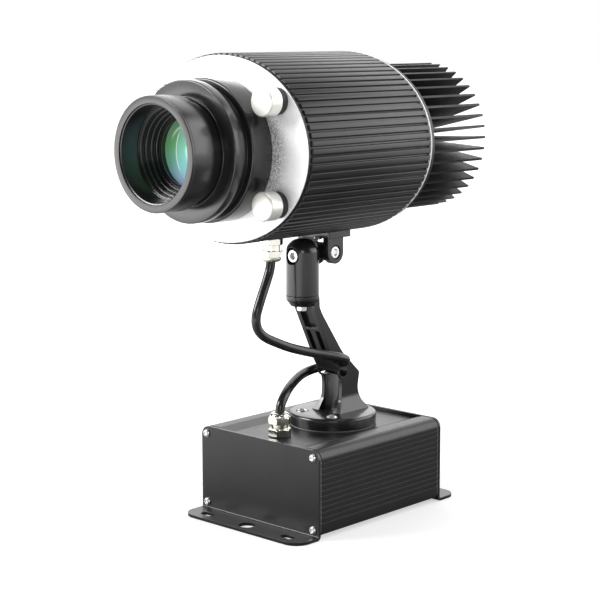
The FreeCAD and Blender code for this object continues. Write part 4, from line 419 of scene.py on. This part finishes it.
def make_materials():
    looks = {}
    looks["black_extrusion"] = finish("black_anodised_extrusion", (0.010, 0.010, 0.011),
                                      (0.014, 0.014, 0.015), (0.31, 0.35), grain=2500.0, grain_strength=0.08)
    looks["black_sheet"] = finish("black_powder_coat", (0.016, 0.016, 0.017), (0.020, 0.020, 0.021),
                                  (0.28, 0.32), grain=1400.0, grain_strength=0.08, edge=0.0003)
    looks["black_plate"] = finish("black_anodised_plate", (0.010, 0.010, 0.011), (0.030, 0.030, 0.031),
                                  (0.30, 0.50), grain=900.0, grain_strength=0.4, cloud=120.0)
    looks["black_casting"] = finish("black_cast_paint", (0.012, 0.012, 0.013), (0.016, 0.016, 0.017),
                                    (0.22, 0.26), grain=700.0, grain_strength=0.08, edge=0.0006, coat=0.3)
    looks["black_barrel"] = finish("black_turned_barrel", (0.012, 0.012, 0.012), (0.014, 0.014, 0.014),
                                   (0.24, 0.26), grain=2200.0, grain_strength=0.02, coat=0.4, coat_rough=0.2)
    looks["black_sink"] = finish("black_blade_anodising", (0.006, 0.006, 0.007), (0.010, 0.010, 0.011),
                                 (0.40, 0.48), specular=0.35, grain=1800.0, grain_strength=0.1)
    looks["silver_plate"] = blasted_plate()
    looks["knob_silver"] = finish("bright_turned_knob", (0.92, 0.91, 0.85), (0.96, 0.95, 0.90),
                                  (0.36, 0.42), metallic=0.6, grain=3000.0, grain_strength=0.05)
    looks["screw_steel"] = finish("zinc_screw", (0.84, 0.84, 0.82), (0.94, 0.94, 0.91), (0.24, 0.32),
                                  metallic=0.9, grain=2500.0, grain_strength=0.1, edge=0.0002, cloud=200.0)
    looks["nickel"] = finish("nickel_gland", (0.88, 0.86, 0.76), (0.95, 0.93, 0.85), (0.14, 0.20),
                             metallic=1.0, grain=1800.0, grain_strength=0.08, edge=0.0004, cloud=120.0)
    looks["black_rubber"] = finish("black_rubber", (0.012, 0.012, 0.012), (0.022, 0.022, 0.022),
                                   (0.45, 0.60), grain=1500.0, edge=0.0003)
    looks["white_gasket"] = finish("white_silicone", (0.90, 0.90, 0.89), (0.95, 0.95, 0.94), (0.35, 0.45),
                                   grain=1500.0, grain_strength=0.1)
    looks["grey_gasket"] = finish("grey_foam_strip", (0.20, 0.20, 0.20), (0.30, 0.30, 0.30), (0.60, 0.80),
                                  grain=2500.0, grain_strength=0.6)
    looks["cable_jacket"] = finish("cable_jacket", (0.010, 0.010, 0.010), (0.018, 0.018, 0.018),
                                   (0.20, 0.24), grain=1600.0, grain_strength=0.08)
    looks["coated_glass"] = coated_glass()
    looks["clear_glass"] = clear_glass()
    looks["gobo_glass"] = gobo_glass()
    looks["circuit_board"] = finish("circuit_board_lacquer", (0.010, 0.10, 0.03), (0.03, 0.20, 0.07),
                                    (0.25, 0.45), grain=900.0, cloud=220.0)
    looks["lamp_board"] = finish("white_lamp_board", (0.70, 0.70, 0.69), (0.84, 0.84, 0.82), (0.35, 0.5))
    looks["ferrite"] = finish("ferrite_and_bobbin", (0.03, 0.03, 0.035), (0.06, 0.06, 0.065), (0.45, 0.65),
                              grain=700.0, edge=0.0004)
    looks["capacitor_sleeve"] = finish("capacitor_sleeve", (0.02, 0.025, 0.06), (0.04, 0.05, 0.12),
                                       (0.2, 0.35))
    looks["terminal_plastic"] = finish("terminal_plastic", (0.03, 0.18, 0.08), (0.06, 0.28, 0.14),
                                       (0.4, 0.55), edge=0.0003)
    looks["motor_steel"] = finish("motor_can_steel", (0.5, 0.5, 0.5), (0.72, 0.72, 0.71), (0.25, 0.4),
                                  metallic=1.0, edge=0.0002)
    looks["gear_plastic"] = finish("white_gear_plastic", (0.70, 0.70, 0.68), (0.84, 0.84, 0.81), (0.4, 0.55),
                                   edge=0.0002)
    looks["inner_aluminium"] = finish("machined_aluminium", (0.55, 0.56, 0.57), (0.74, 0.75, 0.76),
                                      (0.28, 0.42), metallic=1.0, grain=2000.0, edge=0.0003)
    return looks


def glass_place(tree):
    """X and Z about the lens axis, in metres."""
    moved = tree.nodes.new("ShaderNodeVectorMath")
    moved.operation = "SUBTRACT"
    moved.inputs[1].default_value = (0.0, 0.0, HEAD_Z)
    tree.links.new(coordinates(tree, "Object"), moved.inputs[0])
    apart = tree.nodes.new("ShaderNodeSeparateXYZ")
    tree.links.new(moved.outputs["Vector"], apart.inputs["Vector"])
    return apart.outputs["X"], apart.outputs["Z"]


def distance_from(tree, x, z, middle):
    """Distance across the lens from a point on its level axis."""
    across = arithmetic(tree, "SUBTRACT", x, middle)
    squares = arithmetic(tree, "MULTIPLY_ADD", across, across, arithmetic(tree, "MULTIPLY", z, z))
    return arithmetic(tree, "SQRT", squares)


def rim_share(tree):
    """One on the edge of the front plate, behind its face."""
    apart = tree.nodes.new("ShaderNodeSeparateXYZ")
    tree.links.new(coordinates(tree, "Object"), apart.inputs["Vector"])
    return arithmetic(tree, "GREATER_THAN", apart.outputs["Y"], (HEAD_FRONT + 0.35) * MM)


def blasted_plate():
    """Near-white sand-blasted metal with a black rim, and painted shade, speckled by the grain, beside the
    barrel on the right, standing in for the barrel's shadow and reflection.
    """
    material, tree, main = shader("sand_blasted_silver")
    x, z = glass_place(tree)
    reach = distance_from(tree, x, z, 0.0)
    near = share_between(tree, reach, *PAINTED_SHADE_REACH)
    right = share_between(tree, arithmetic(tree, "DIVIDE", x, reach), *PAINTED_SHADE_SIDE)
    grains = noise(tree, 1700.0, 2.0)
    # painted shade: grain speckle darkens the plate near the barrel on its right side, where the barrel's
    # shadow and reflection fall
    shade_speckle = share_between(tree, grains, 0.60, 0.42)
    painted_shade_zone = arithmetic(tree, "MULTIPLY", arithmetic(tree, "MULTIPLY", near, right), shade_speckle)
    plain = spread(tree, grains, (0.90, 0.90, 0.91), (0.97, 0.97, 0.97), 0.36, 0.56)
    shade = mixed(tree, arithmetic(tree, "MULTIPLY", painted_shade_zone, PAINTED_SHADE_SHARE), plain, PAINTED_SHADE_COLOUR)
    rim = rim_share(tree)
    tree.links.new(mixed(tree, rim, shade, RIM_SHADE), main.inputs["Base Color"])
    face = arithmetic(tree, "SUBTRACT", 1.0, rim)
    tree.links.new(arithmetic(tree, "MULTIPLY", face, 0.35), main.inputs["Metallic"])
    tree.links.new(spread(tree, noise(tree, 900.0, 1.0), 0.40, 0.52), main.inputs["Roughness"])
    bump(tree, main, noise(tree, 1300.0, 2.0), 0.25, 0.00004)
    return material


def coated_glass():
    """The front lens: painted coating reflections, green at the left and top, blue and violet at the bottom,
    with painted pale reflection arcs; the same colours glow.
    """
    material, tree, main = shader("coated_front_glass")
    x, z = glass_place(tree)
    slant = arithmetic(tree, "SUBTRACT", z, arithmetic(tree, "MULTIPLY", x, COATING_TILT))
    ramp = tree.nodes.new("ShaderNodeValToRGB")
    elements = ramp.color_ramp.elements
    elements[0].position, elements[1].position = COATING[0][0], COATING[-1][0]
    for position, _ in COATING[1:-1]:
        elements.new(position)
    for element, (_, colour) in zip(elements, COATING):
        element.color = (*colour, 1.0)
    tree.links.new(arithmetic(tree, "MULTIPLY_ADD", slant, 20.0, 0.5), ramp.inputs["Fac"])
    beyond = arithmetic(tree, "SUBTRACT", ARC_RADIUS, distance_from(tree, x, z, ARC_MIDDLE))
    inside = share_between(tree, beyond, 0.0, 0.0004)
    arc = share_between(tree, arithmetic(tree, "ABSOLUTE", beyond), 0.0007, 0.0)
    height = arithmetic(tree, "ABSOLUTE", z)
    arc = arithmetic(tree, "MULTIPLY", arc, share_between(tree, height, *ARC_HEIGHT))
    off_band = arithmetic(tree, "SUBTRACT", distance_from(tree, x, z, 0.0), BAND_RADIUS)
    band = share_between(tree, arithmetic(tree, "ABSOLUTE", off_band), 0.0016, 0.0)
    band = arithmetic(tree, "MULTIPLY", band, share_between(tree, z, *BAND_HEIGHT))
    colour = ramp.outputs["Color"]
    # painted reflections: the lighter inside of the arc, the pale arc and the pale band
    for share, strength, shade in ((inside, 0.35, INNER_REFLECTION_COLOUR), (arc, 0.75, ARC_REFLECTION_COLOUR),
                                   (band, 0.45, BAND_REFLECTION_COLOUR)):
        colour = mixed(tree, arithmetic(tree, "MULTIPLY", share, strength), colour, shade)
    tree.links.new(colour, main.inputs["Base Color"])
    # painted glow: the lens colours, painted reflections included, shine as emission though the lens is no
    # lamp
    tree.links.new(colour, main.inputs["Emission Color"])
    main.inputs["Emission Strength"].default_value = 0.34
    main.inputs["Roughness"].default_value = 0.12
    main.inputs["Coat Weight"].default_value = 1.0
    main.inputs["Coat Roughness"].default_value = 0.02
    return material


def clear_glass():
    material, tree, main = shader("clear_lens_glass")
    main.inputs["Transmission Weight"].default_value = 1.0
    main.inputs["Roughness"].default_value = 0.02
    main.inputs["IOR"].default_value = 1.5
    tree.links.new(spread(tree, noise(tree, 60.0), (0.90, 0.93, 0.92), (0.96, 0.97, 0.97)),
                   main.inputs["Base Color"])
    return material


def gobo_glass():
    """Dark glass with a plain clear ring pattern."""
    material, tree, main = shader("gobo_pattern_glass")
    x, z = glass_place(tree)
    together = tree.nodes.new("ShaderNodeCombineXYZ")
    tree.links.new(x, together.inputs["X"])
    tree.links.new(z, together.inputs["Y"])
    wave = tree.nodes.new("ShaderNodeTexWave")
    wave.wave_type = "RINGS"
    wave.rings_direction = "Z"
    wave.inputs["Scale"].default_value = 60.0
    tree.links.new(together.outputs["Vector"], wave.inputs["Vector"])
    tree.links.new(spread(tree, wave.outputs["Fac"], (0.02, 0.02, 0.025), (0.5, 0.55, 0.6), 0.45, 0.55),
                   main.inputs["Base Color"])
    main.inputs["Roughness"].default_value = 0.12
    return material


# Shapes

def rounded_profile(corners, steps=4):
    """A closed outline whose corners are (u, v) or (u, v, radius), rounded by short arcs."""
    outline = []
    count = len(corners)
    for i, corner in enumerate(corners):
        here = Vector(corner[:2])
        radius = corner[2] if len(corner) > 2 else 0.0
        back = (Vector(corners[i - 1][:2]) - here)
        ahead = (Vector(corners[(i + 1) % count][:2]) - here)
        back.normalize()
        ahead.normalize()
        half = back.angle(ahead) / 2
        if radius <= 0 or half > math.pi / 2 - 0.001:
            outline.append(here)
            continue
        reach = radius / math.tan(half)
        centre = here + (back + ahead).normalized() * (radius / math.sin(half))
        start = here + back * reach - centre
        end = here + ahead * reach - centre
        sweep = start.angle_signed(end)
        for k in range(steps + 1):
            angle = -sweep * k / steps
            turned = Vector((start.x * math.cos(angle) - start.y * math.sin(angle),
                             start.x * math.sin(angle) + start.y * math.cos(angle)))
            outline.append(centre + turned)
    return outline


def lathe_y(name, corners, x=0.0, z=HEAD_Z, segments=192, steps=4):
    """A turned piece about an axis along Y. Corners are (radius, y, rounding) in millimetres."""
    scaled = [tuple(value * MM for value in corner) for corner in corners]
    outline = rounded_profile(scaled, steps)
    work = bmesh.new()
    rings = []
    for point in outline:
        if point.x < 1e-7:
            rings.append([work.verts.new((x, point.y, z))] * segments)
            continue
        ring = []
        for i in range(segments):
            angle = 2 * math.pi * i / segments
            place = (x + point.x * math.cos(angle), point.y, z + point.x * math.sin(angle))
            ring.append(work.verts.new(place))
        rings.append(ring)
    for a, b in zip(rings, rings[1:] + rings[:1]):
        if a[0] is a[1] and b[0] is b[1]:
            continue
        for i in range(segments):
            j = (i + 1) % segments
            corners_here = []
            for vertex in (a[i], a[j], b[j], b[i]):
                if vertex not in corners_here:
                    corners_here.append(vertex)
            work.faces.new(corners_here)
    return from_bmesh(name, work)


def from_bmesh(name, work, sharp=38.0):
    bmesh.ops.recalc_face_normals(work, faces=work.faces)
    mesh = bpy.data.meshes.new(name)
    work.to_mesh(mesh)
    work.free()
    smooth_by_angle(mesh, sharp)
    piece = bpy.data.objects.new(name, mesh)
    bpy.context.scene.collection.objects.link(piece)
    return piece


def oval_stack(name, rings, segments=288):
    """A closed piece from ovals (half width, half height, y) in millimetres; the last joins the first."""
    work = bmesh.new()
    loops = []
    for half_width, half_height, y in rings:
        loop = []
        for i in range(segments):
            angle = 2 * math.pi * i / segments
            loop.append(work.verts.new((half_width * MM * math.cos(angle), y * MM,
                                        HEAD_Z + half_height * MM * math.sin(angle))))
        loops.append(loop)
    join_loops(work, loops)
    return from_bmesh(name, work)


def join_loops(work, loops):
    for a, b in zip(loops, loops[1:] + loops[:1]):
        for i in range(len(a)):
            j = (i + 1) % len(a)
            work.faces.new((a[i], a[j], b[j], b[i]))


def rounded_rim(half_width, half_height, front, back, radius, steps=4):
    """Ovals over the rim of a plate, its two edges rounded."""
    rings = []
    for k in range(steps + 1):
        angle = math.pi / 2 * k / steps
        inset = radius * (1 - math.sin(angle))
        rings.append((half_width - inset, half_height - inset, front + radius * (1 - math.cos(angle))))
    for k in range(steps + 1):
        angle = math.pi / 2 * (1 - k / steps)
        inset = radius * (1 - math.sin(angle))
        rings.append((half_width - inset, half_height - inset, back - radius * (1 - math.cos(angle))))
    return rings


def oval_plate(name, inset, front, back, rounding, opening):
    """A plate inside the head's oval with rounded edges and a hole of the given half sizes."""
    rim = rounded_rim(OVAL[0] - inset, OVAL[1] - inset, front, back, rounding)
    return oval_stack(name, rim + [(*opening, back), (*opening, front)])


def slots_of_nodes():
    return {entry["node"]: entry["material_slot"] for entry in frame["record"]["subparts"]}


def stand_in(piece, looks, node):
    """The piece takes the node's place, body, slot and material."""
    slot = slots_of_nodes()[node]
    piece.data.materials.append(looks[slot])
    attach(piece, body_of_node(node))
    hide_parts(node)


def body_of_node(node):
    for body, members in frame["record"]["behaviour"]["bodies"].items():
        if node in members:
            return body
    raise ValueError(node)


def dress_cad(looks):
    """Every CAD node takes the material of its slot."""
    slots = slots_of_nodes()
    for node, thing in frame["nodes"].items():
        thing.data.materials.clear()
        thing.data.materials.append(looks[slots[node]])


# Pieces of the head

def oval_lengths(steps=7200):
    """Length along the edge of the head's oval, for evenly stepped angles."""
    lengths = [0.0]
    for i in range(steps):
        angle = 2 * math.pi * (i + 0.5) / steps
        lengths.append(lengths[-1] + math.hypot(OVAL[0] * math.sin(angle), OVAL[1] * math.cos(angle))
                       * 2 * math.pi / steps)
    return lengths


def ribbed_outline():
    """Angles and depths round the ribbed oval: wide crests with rounded shoulders, narrow grooves."""
    lengths = oval_lengths()
    steps = len(lengths) - 1
    pitch = lengths[-1] / RIB_COUNT
    crest = pitch * RIB_CREST_SHARE
    flank = (pitch - crest) * RIB_FLANK_SHARE
    along_round, depth_round = GROOVE_ROUND
    section = RIB_SHOULDER + [(crest - along, depth) for along, depth in reversed(RIB_SHOULDER)]
    section += [(crest + flank, RIB_DEPTH - depth_round), (crest + flank + along_round, RIB_DEPTH),
                (pitch - flank - along_round, RIB_DEPTH), (pitch - flank, RIB_DEPTH - depth_round)]
    outline = []
    index = 0
    for rib in range(RIB_COUNT):
        for along, depth in section:
            target = rib * pitch + along
            while lengths[index] < target and index < steps:
                index += 1
            outline.append((2 * math.pi * index / steps, depth))
    return outline


def ribbed_tube():
    """The head's tube: fine ribs outside, a smooth bore, small rounds on both ends."""
    outline = ribbed_outline()
    work = bmesh.new()
    loops = []
    front, back = TUBE_SPAN
    ends = [(inset, front + along) for inset, along in TUBE_EDGE]
    ends += [(inset, back - along) for inset, along in reversed(TUBE_EDGE)]
    for inset, y in ends:
        loop = []
        for angle, depth in outline:
            normal = Vector((math.cos(angle) / OVAL[0], math.sin(angle) / OVAL[1])).normalized()
            x = OVAL[0] * math.cos(angle) - normal.x * (depth + inset)
            z = OVAL[1] * math.sin(angle) - normal.y * (depth + inset)
            loop.append(work.verts.new((x * MM, y * MM, HEAD_Z + z * MM)))
        loops.append(loop)
    for y in (back, front):
        loops.append([work.verts.new(((OVAL[0] - TUBE_WALL) * MM * math.cos(angle), y * MM,
                                      HEAD_Z + (OVAL[1] - TUBE_WALL) * MM * math.sin(angle)))
                      for angle, depth in outline])
    join_loops(work, loops)
    return from_bmesh("ribbed_tube", work, 50.0)


def front_plate():
    rear = HEAD_FRONT + PLATE_THICK
    return oval_plate("blasted_front_plate", PLATE_INSET, HEAD_FRONT, rear, PLATE_EDGE,
                      (PLATE_BORE, PLATE_BORE))


def rear_gasket():
    inner = (OVAL[0] - TUBE_WALL, OVAL[1] - TUBE_WALL)
    return oval_plate("gasket_line", GASKET_INSET, TUBE_SPAN[1], GASKET_REAR, GASKET_EDGE, inner)


def rear_plate():
    return oval_plate("rear_cover", COVER_INSET, GASKET_REAR, COVER_REAR, COVER_EDGE,
                      (COVER_BORE, COVER_BORE))


def lens_barrel():
    """Hood with its stepped throat, neck and inner tube."""
    corners = [(HOOD_BORE, HOOD_FRONT + 1.2, 0.3), (31.2, HOOD_FRONT + 1.0, 0.1), (31.4, HOOD_FRONT, 0.15),
               (HOOD_RADIUS, HOOD_FRONT, 0.5), (HOOD_RADIUS, HOOD_FRONT + 1.7, 0.1),
               (35.9, HOOD_FRONT + 1.9, 0.1), (HOOD_RADIUS, HOOD_FRONT + 2.1, 0.1),
               (HOOD_RADIUS, HOOD_REAR, 1.0), (BARREL_RADIUS, HOOD_REAR), (BARREL_RADIUS, BARREL_REAR, 0.3),
               (BARREL_BORE, BARREL_REAR, 0.3), *BORE_STEPS, (LENS_SEAT, -118.0), (LENS_SEAT, LENS_FRONT)]
    step = (HOOD_BORE - LENS_SEAT) / THROAT_STEPS
    for i in range(THROAT_STEPS):
        y = LENS_FRONT - i * THROAT_PITCH
        radius = LENS_SEAT + (i + 1) * step
        lip = radius - THROAT_LIP
        corners.append((radius, y, 0.2))
        if i < THROAT_STEPS - 1:
            corners += [(radius, y - THROAT_GROOVE, 0.1), (lip, y - THROAT_GROOVE, 0.15),
                        (lip, y - THROAT_PITCH, 0.5)]
    return lathe_y("lens_hood_and_barrel", corners, segments=256)


def lens_mount():
    """Fixed barrel, stepped down in front to carry the ring."""
    neck, neck_front = MOUNT_NECK
    nose, nose_front = MOUNT_NOSE
    corners = [(MOUNT_BORE, HEAD_FRONT), (MOUNT_RADIUS, HEAD_FRONT, 0.3), (MOUNT_RADIUS, MOUNT_FRONT, 1.2),
               (neck, MOUNT_FRONT, 0.3), (neck, neck_front, 0.3), (nose, neck_front, 0.2),
               (nose, nose_front, 0.3), (MOUNT_BORE, nose_front, 0.2)]
    return lathe_y("lens_mount_barrel", corners, segments=256)


def focus_ring():
    """The ring with the thin bright lip round the neck."""
    rear, front = RING_SPAN
    lip_inside, lip_outside, lip_front = RING_LIP
    corners = [(RING_BORE, rear, 0.2), (RING_RADIUS, rear, 0.7), (RING_RADIUS, front, 0.8),
               (35.2, front, 0.2), (35.0, -126.1, 0.1), (lip_outside, lip_front, 0.35),
               (lip_inside, lip_front, 0.3), (MOUNT_BORE, -125.7, 0.2),
               (MOUNT_BORE, -124.1, 0.2), (RING_BORE, -124.1, 0.2)]
    return lathe_y("focus_ring_fine", corners, segments=256)


def cap_points(radius, height, y, sign, steps=14):
    """Points from the axis out over a spherical cap."""
    sphere = (radius * radius + height * height) / (2 * height)
    points = []
    for k in range(steps + 1):
        angle = math.asin(radius / sphere) * k / steps
        points.append((sphere * math.sin(angle), y + sign * sphere * (1 - math.cos(angle))))
    return points


def front_lens():
    front = cap_points(LENS_RADIUS - 1.8, 3.0, LENS_FRONT, 1)
    back = cap_points(LENS_RADIUS - 1.8, 2.0, LENS_FRONT + 8.0, -1)
    outline = front + [(LENS_RADIUS, LENS_FRONT + 3.0, 0.2), (LENS_RADIUS, LENS_FRONT + 6.0, 0.2)]
    return lathe_y("front_lens_glass", outline + back[::-1], segments=160)


def thumb_knob(number, x, z):
    """A smooth knob with a slightly domed face and its stud."""
    back = HEAD_FRONT - KNOB_COLLAR[1] - KNOB_GAP
    front = back - KNOB_LENGTH
    corners = [(0.0, front), (KNOB_RADIUS * 0.5, front + 0.12), (KNOB_RADIUS, front + 0.5, 1.6),
               (KNOB_RADIUS, back, 0.9), (STUD_RADIUS, back), (STUD_RADIUS, STUD_REAR), (0.0, STUD_REAR)]
    return lathe_y(f"knob_{number}", corners, x * MM, HEAD_Z + z * MM, segments=96, steps=7)


def knob_collar(number, x, z):
    radius, thick = KNOB_COLLAR
    corners = [(COLLAR_BORE, HEAD_FRONT), (radius, HEAD_FRONT, 0.3), (radius, HEAD_FRONT - thick, 0.9),
               (COLLAR_BORE, HEAD_FRONT - thick)]
    return lathe_y(f"knob_collar_{number}", corners, x * MM, HEAD_Z + z * MM, segments=80)


# Rounding of the edges of the solids' own shapes, in metres
MERGE_DISTANCE = 2e-6
FLAT_ANGLE = 0.6
ROUNDED = {"driver_housing": 0.0001, "front_end_plate": 0.0003, "rear_end_plate": 0.0003,
           "bracket_arm": 0.0005, "swivel_post": 0.0003, "knuckle": 0.0003, "head_mount": 0.0005,
           "driver_gland": 0.0003, "head_gland": 0.0003, "mains_gland": 0.0003, "heat_sink": 0.0002,
           "end_plate_screws": 0.00012, "bracket_screws": 0.00015, "lean_screw": 0.0002,
           "tilt_bolt": 0.0002, "pan_bolt": 0.0002, "head_mount_screws": 0.00012}


def rounded_copy(node, radius, segments=3, limit=32.0):
    """The node's own shape with its sharp edges rounded in the mesh."""
    work = bmesh.new()
    work.from_mesh(frame["nodes"][node].data)
    bmesh.ops.remove_doubles(work, verts=work.verts, dist=MERGE_DISTANCE)
    bmesh.ops.dissolve_limit(work, angle_limit=math.radians(FLAT_ANGLE), verts=work.verts, edges=work.edges)
    piece = from_bmesh(node + "_rounded", work, limit)
    rounding = piece.modifiers.new("rounding", "BEVEL")
    rounding.width = radius
    rounding.segments = segments
    rounding.limit_method = "ANGLE"
    rounding.angle_limit = math.radians(limit)
    rounding.harden_normals = True
    bpy.context.view_layer.update()
    mesh = bpy.data.meshes.new_from_object(piece.evaluated_get(bpy.context.evaluated_depsgraph_get()))
    piece.modifiers.clear()
    piece.data = mesh
    return piece


def build_head(looks):
    for piece, node in ((ribbed_tube(), "head_tube"), (front_plate(), "front_plate"),
                        (rear_gasket(), "rear_gasket"), (rear_plate(), "rear_plate"),
                        (lens_barrel(), "lens_barrel"), (lens_mount(), "lens_mount"),
                        (focus_ring(), "focus_ring"), (front_lens(), "front_lens")):
        stand_in(piece, looks, node)
    for i, (x, z) in enumerate(KNOB_PLACES):
        stand_in(thumb_knob(i + 1, x, z), looks, f"thumb_knob_{i + 1}")
        stand_in(knob_collar(i + 1, x, z), looks, "knob_collars")


def build_rounded(looks):
    for node, radius in ROUNDED.items():
        stand_in(rounded_copy(node, radius), looks, node)


# Stage

def make_stage():
    """A pale floor, white further out, that looks darker in reflections than to the camera."""
    corners = [(x * FLOOR_SIZE, y * FLOOR_SIZE, 0) for x, y in ((-1, -1), (1, -1), (1, 1), (-1, 1))]
    mesh = bpy.data.meshes.new("floor")
    mesh.from_pydata(corners, [], [(0, 1, 2, 3)])
    floor = bpy.data.objects.new("floor", mesh)
    bpy.context.scene.collection.objects.link(floor)
    floor.location.z = -FLOOR_DROP
    material, tree, main = shader("pale_floor")
    main.inputs["Roughness"].default_value = 0.9
    main.inputs["Specular IOR Level"].default_value = 0.1
    seen = tree.nodes.new("ShaderNodeLightPath").outputs["Is Camera Ray"]
    tree.links.new(mixed(tree, seen, FLOOR_MIRRORED, FLOOR_SHOWN), main.inputs["Base Color"])
    reach = tree.nodes.new("ShaderNodeVectorMath")
    reach.operation = "LENGTH"
    tree.links.new(coordinates(tree, "Object"), reach.inputs[0])
    shown = arithmetic(tree, "MULTIPLY_ADD", share_between(tree, reach.outputs["Value"], *SHOWN_REACH),
                       SHOWN_GLOW[1], SHOWN_GLOW[0])
    far = share_between(tree, reach.outputs["Value"], *FAR_REACH)
    front = share_between(tree, share_along(tree, coordinates(tree, "Object"), FRONT_WAY), *FRONT_REACH)
    near = arithmetic(tree, "MULTIPLY_ADD", front, FRONT_GLOW, NEAR_GLOW)
    mirrored = arithmetic(tree, "MULTIPLY_ADD", far, FAR_GLOW, near)
    level = tree.nodes.new("ShaderNodeMix")
    tree.links.new(seen, level.inputs["Factor"])
    tree.links.new(mirrored, level.inputs["A"])
    tree.links.new(shown, level.inputs["B"])
    main.inputs["Emission Color"].default_value = (1.0, 1.0, 1.0, 1.0)
    tree.links.new(level.outputs["Result"], main.inputs["Emission Strength"])
    mesh.materials.append(material)


def make_world():
    """White to the camera. Reflections see soft bright patches in a dim room."""
    world = bpy.data.worlds.new("studio")
    world.use_nodes = True
    bpy.context.scene.world = world
    tree = world.node_tree
    background = tree.nodes["Background"]
    background.inputs["Color"].default_value = (1, 1, 1, 1)
    light_path = tree.nodes.new("ShaderNodeLightPath")
    seen = arithmetic(tree, "MAXIMUM", light_path.outputs["Is Camera Ray"],
                      light_path.outputs["Is Transmission Ray"])
    total = ROOM_LEVEL
    for way, start, full, patch_level in PATCHES:
        along = share_along(tree, coordinates(tree, "Generated"), Vector(way).normalized())
        total = arithmetic(tree, "MULTIPLY_ADD", share_between(tree, along, start, full), patch_level, total)
    level = tree.nodes.new("ShaderNodeMix")
    tree.links.new(seen, level.inputs["Factor"])
    tree.links.new(total, level.inputs["A"])
    level.inputs["B"].default_value = 1.0
    tree.links.new(level.outputs["Result"], background.inputs["Strength"])


def soft_light(name, place, width, height, power):
    data = bpy.data.lights.new(name, "AREA")
    data.shape = "RECTANGLE"
    data.size = width
    data.size_y = height
    data.energy = power
    lamp = bpy.data.objects.new(name, data)
    bpy.context.scene.collection.objects.link(lamp)
    lamp.location = place
    lamp.rotation_euler = (Vector(LIGHT_AIM) - Vector(place)).to_track_quat("-Z", "Y").to_euler()


def make_lights():
    for name, place, width, height, power in LIGHTS:
        soft_light(name, place, width, height, power)


def main():
    scene = bpy.context.scene
    scene.view_settings.view_transform = "Standard"
    make_camera()
    looks = make_materials()
    link_cable(looks["cable_jacket"])
    dress_cad(looks)
    build_head(looks)
    build_rounded(looks)
    make_stage()
    make_world()
    make_lights()


main()
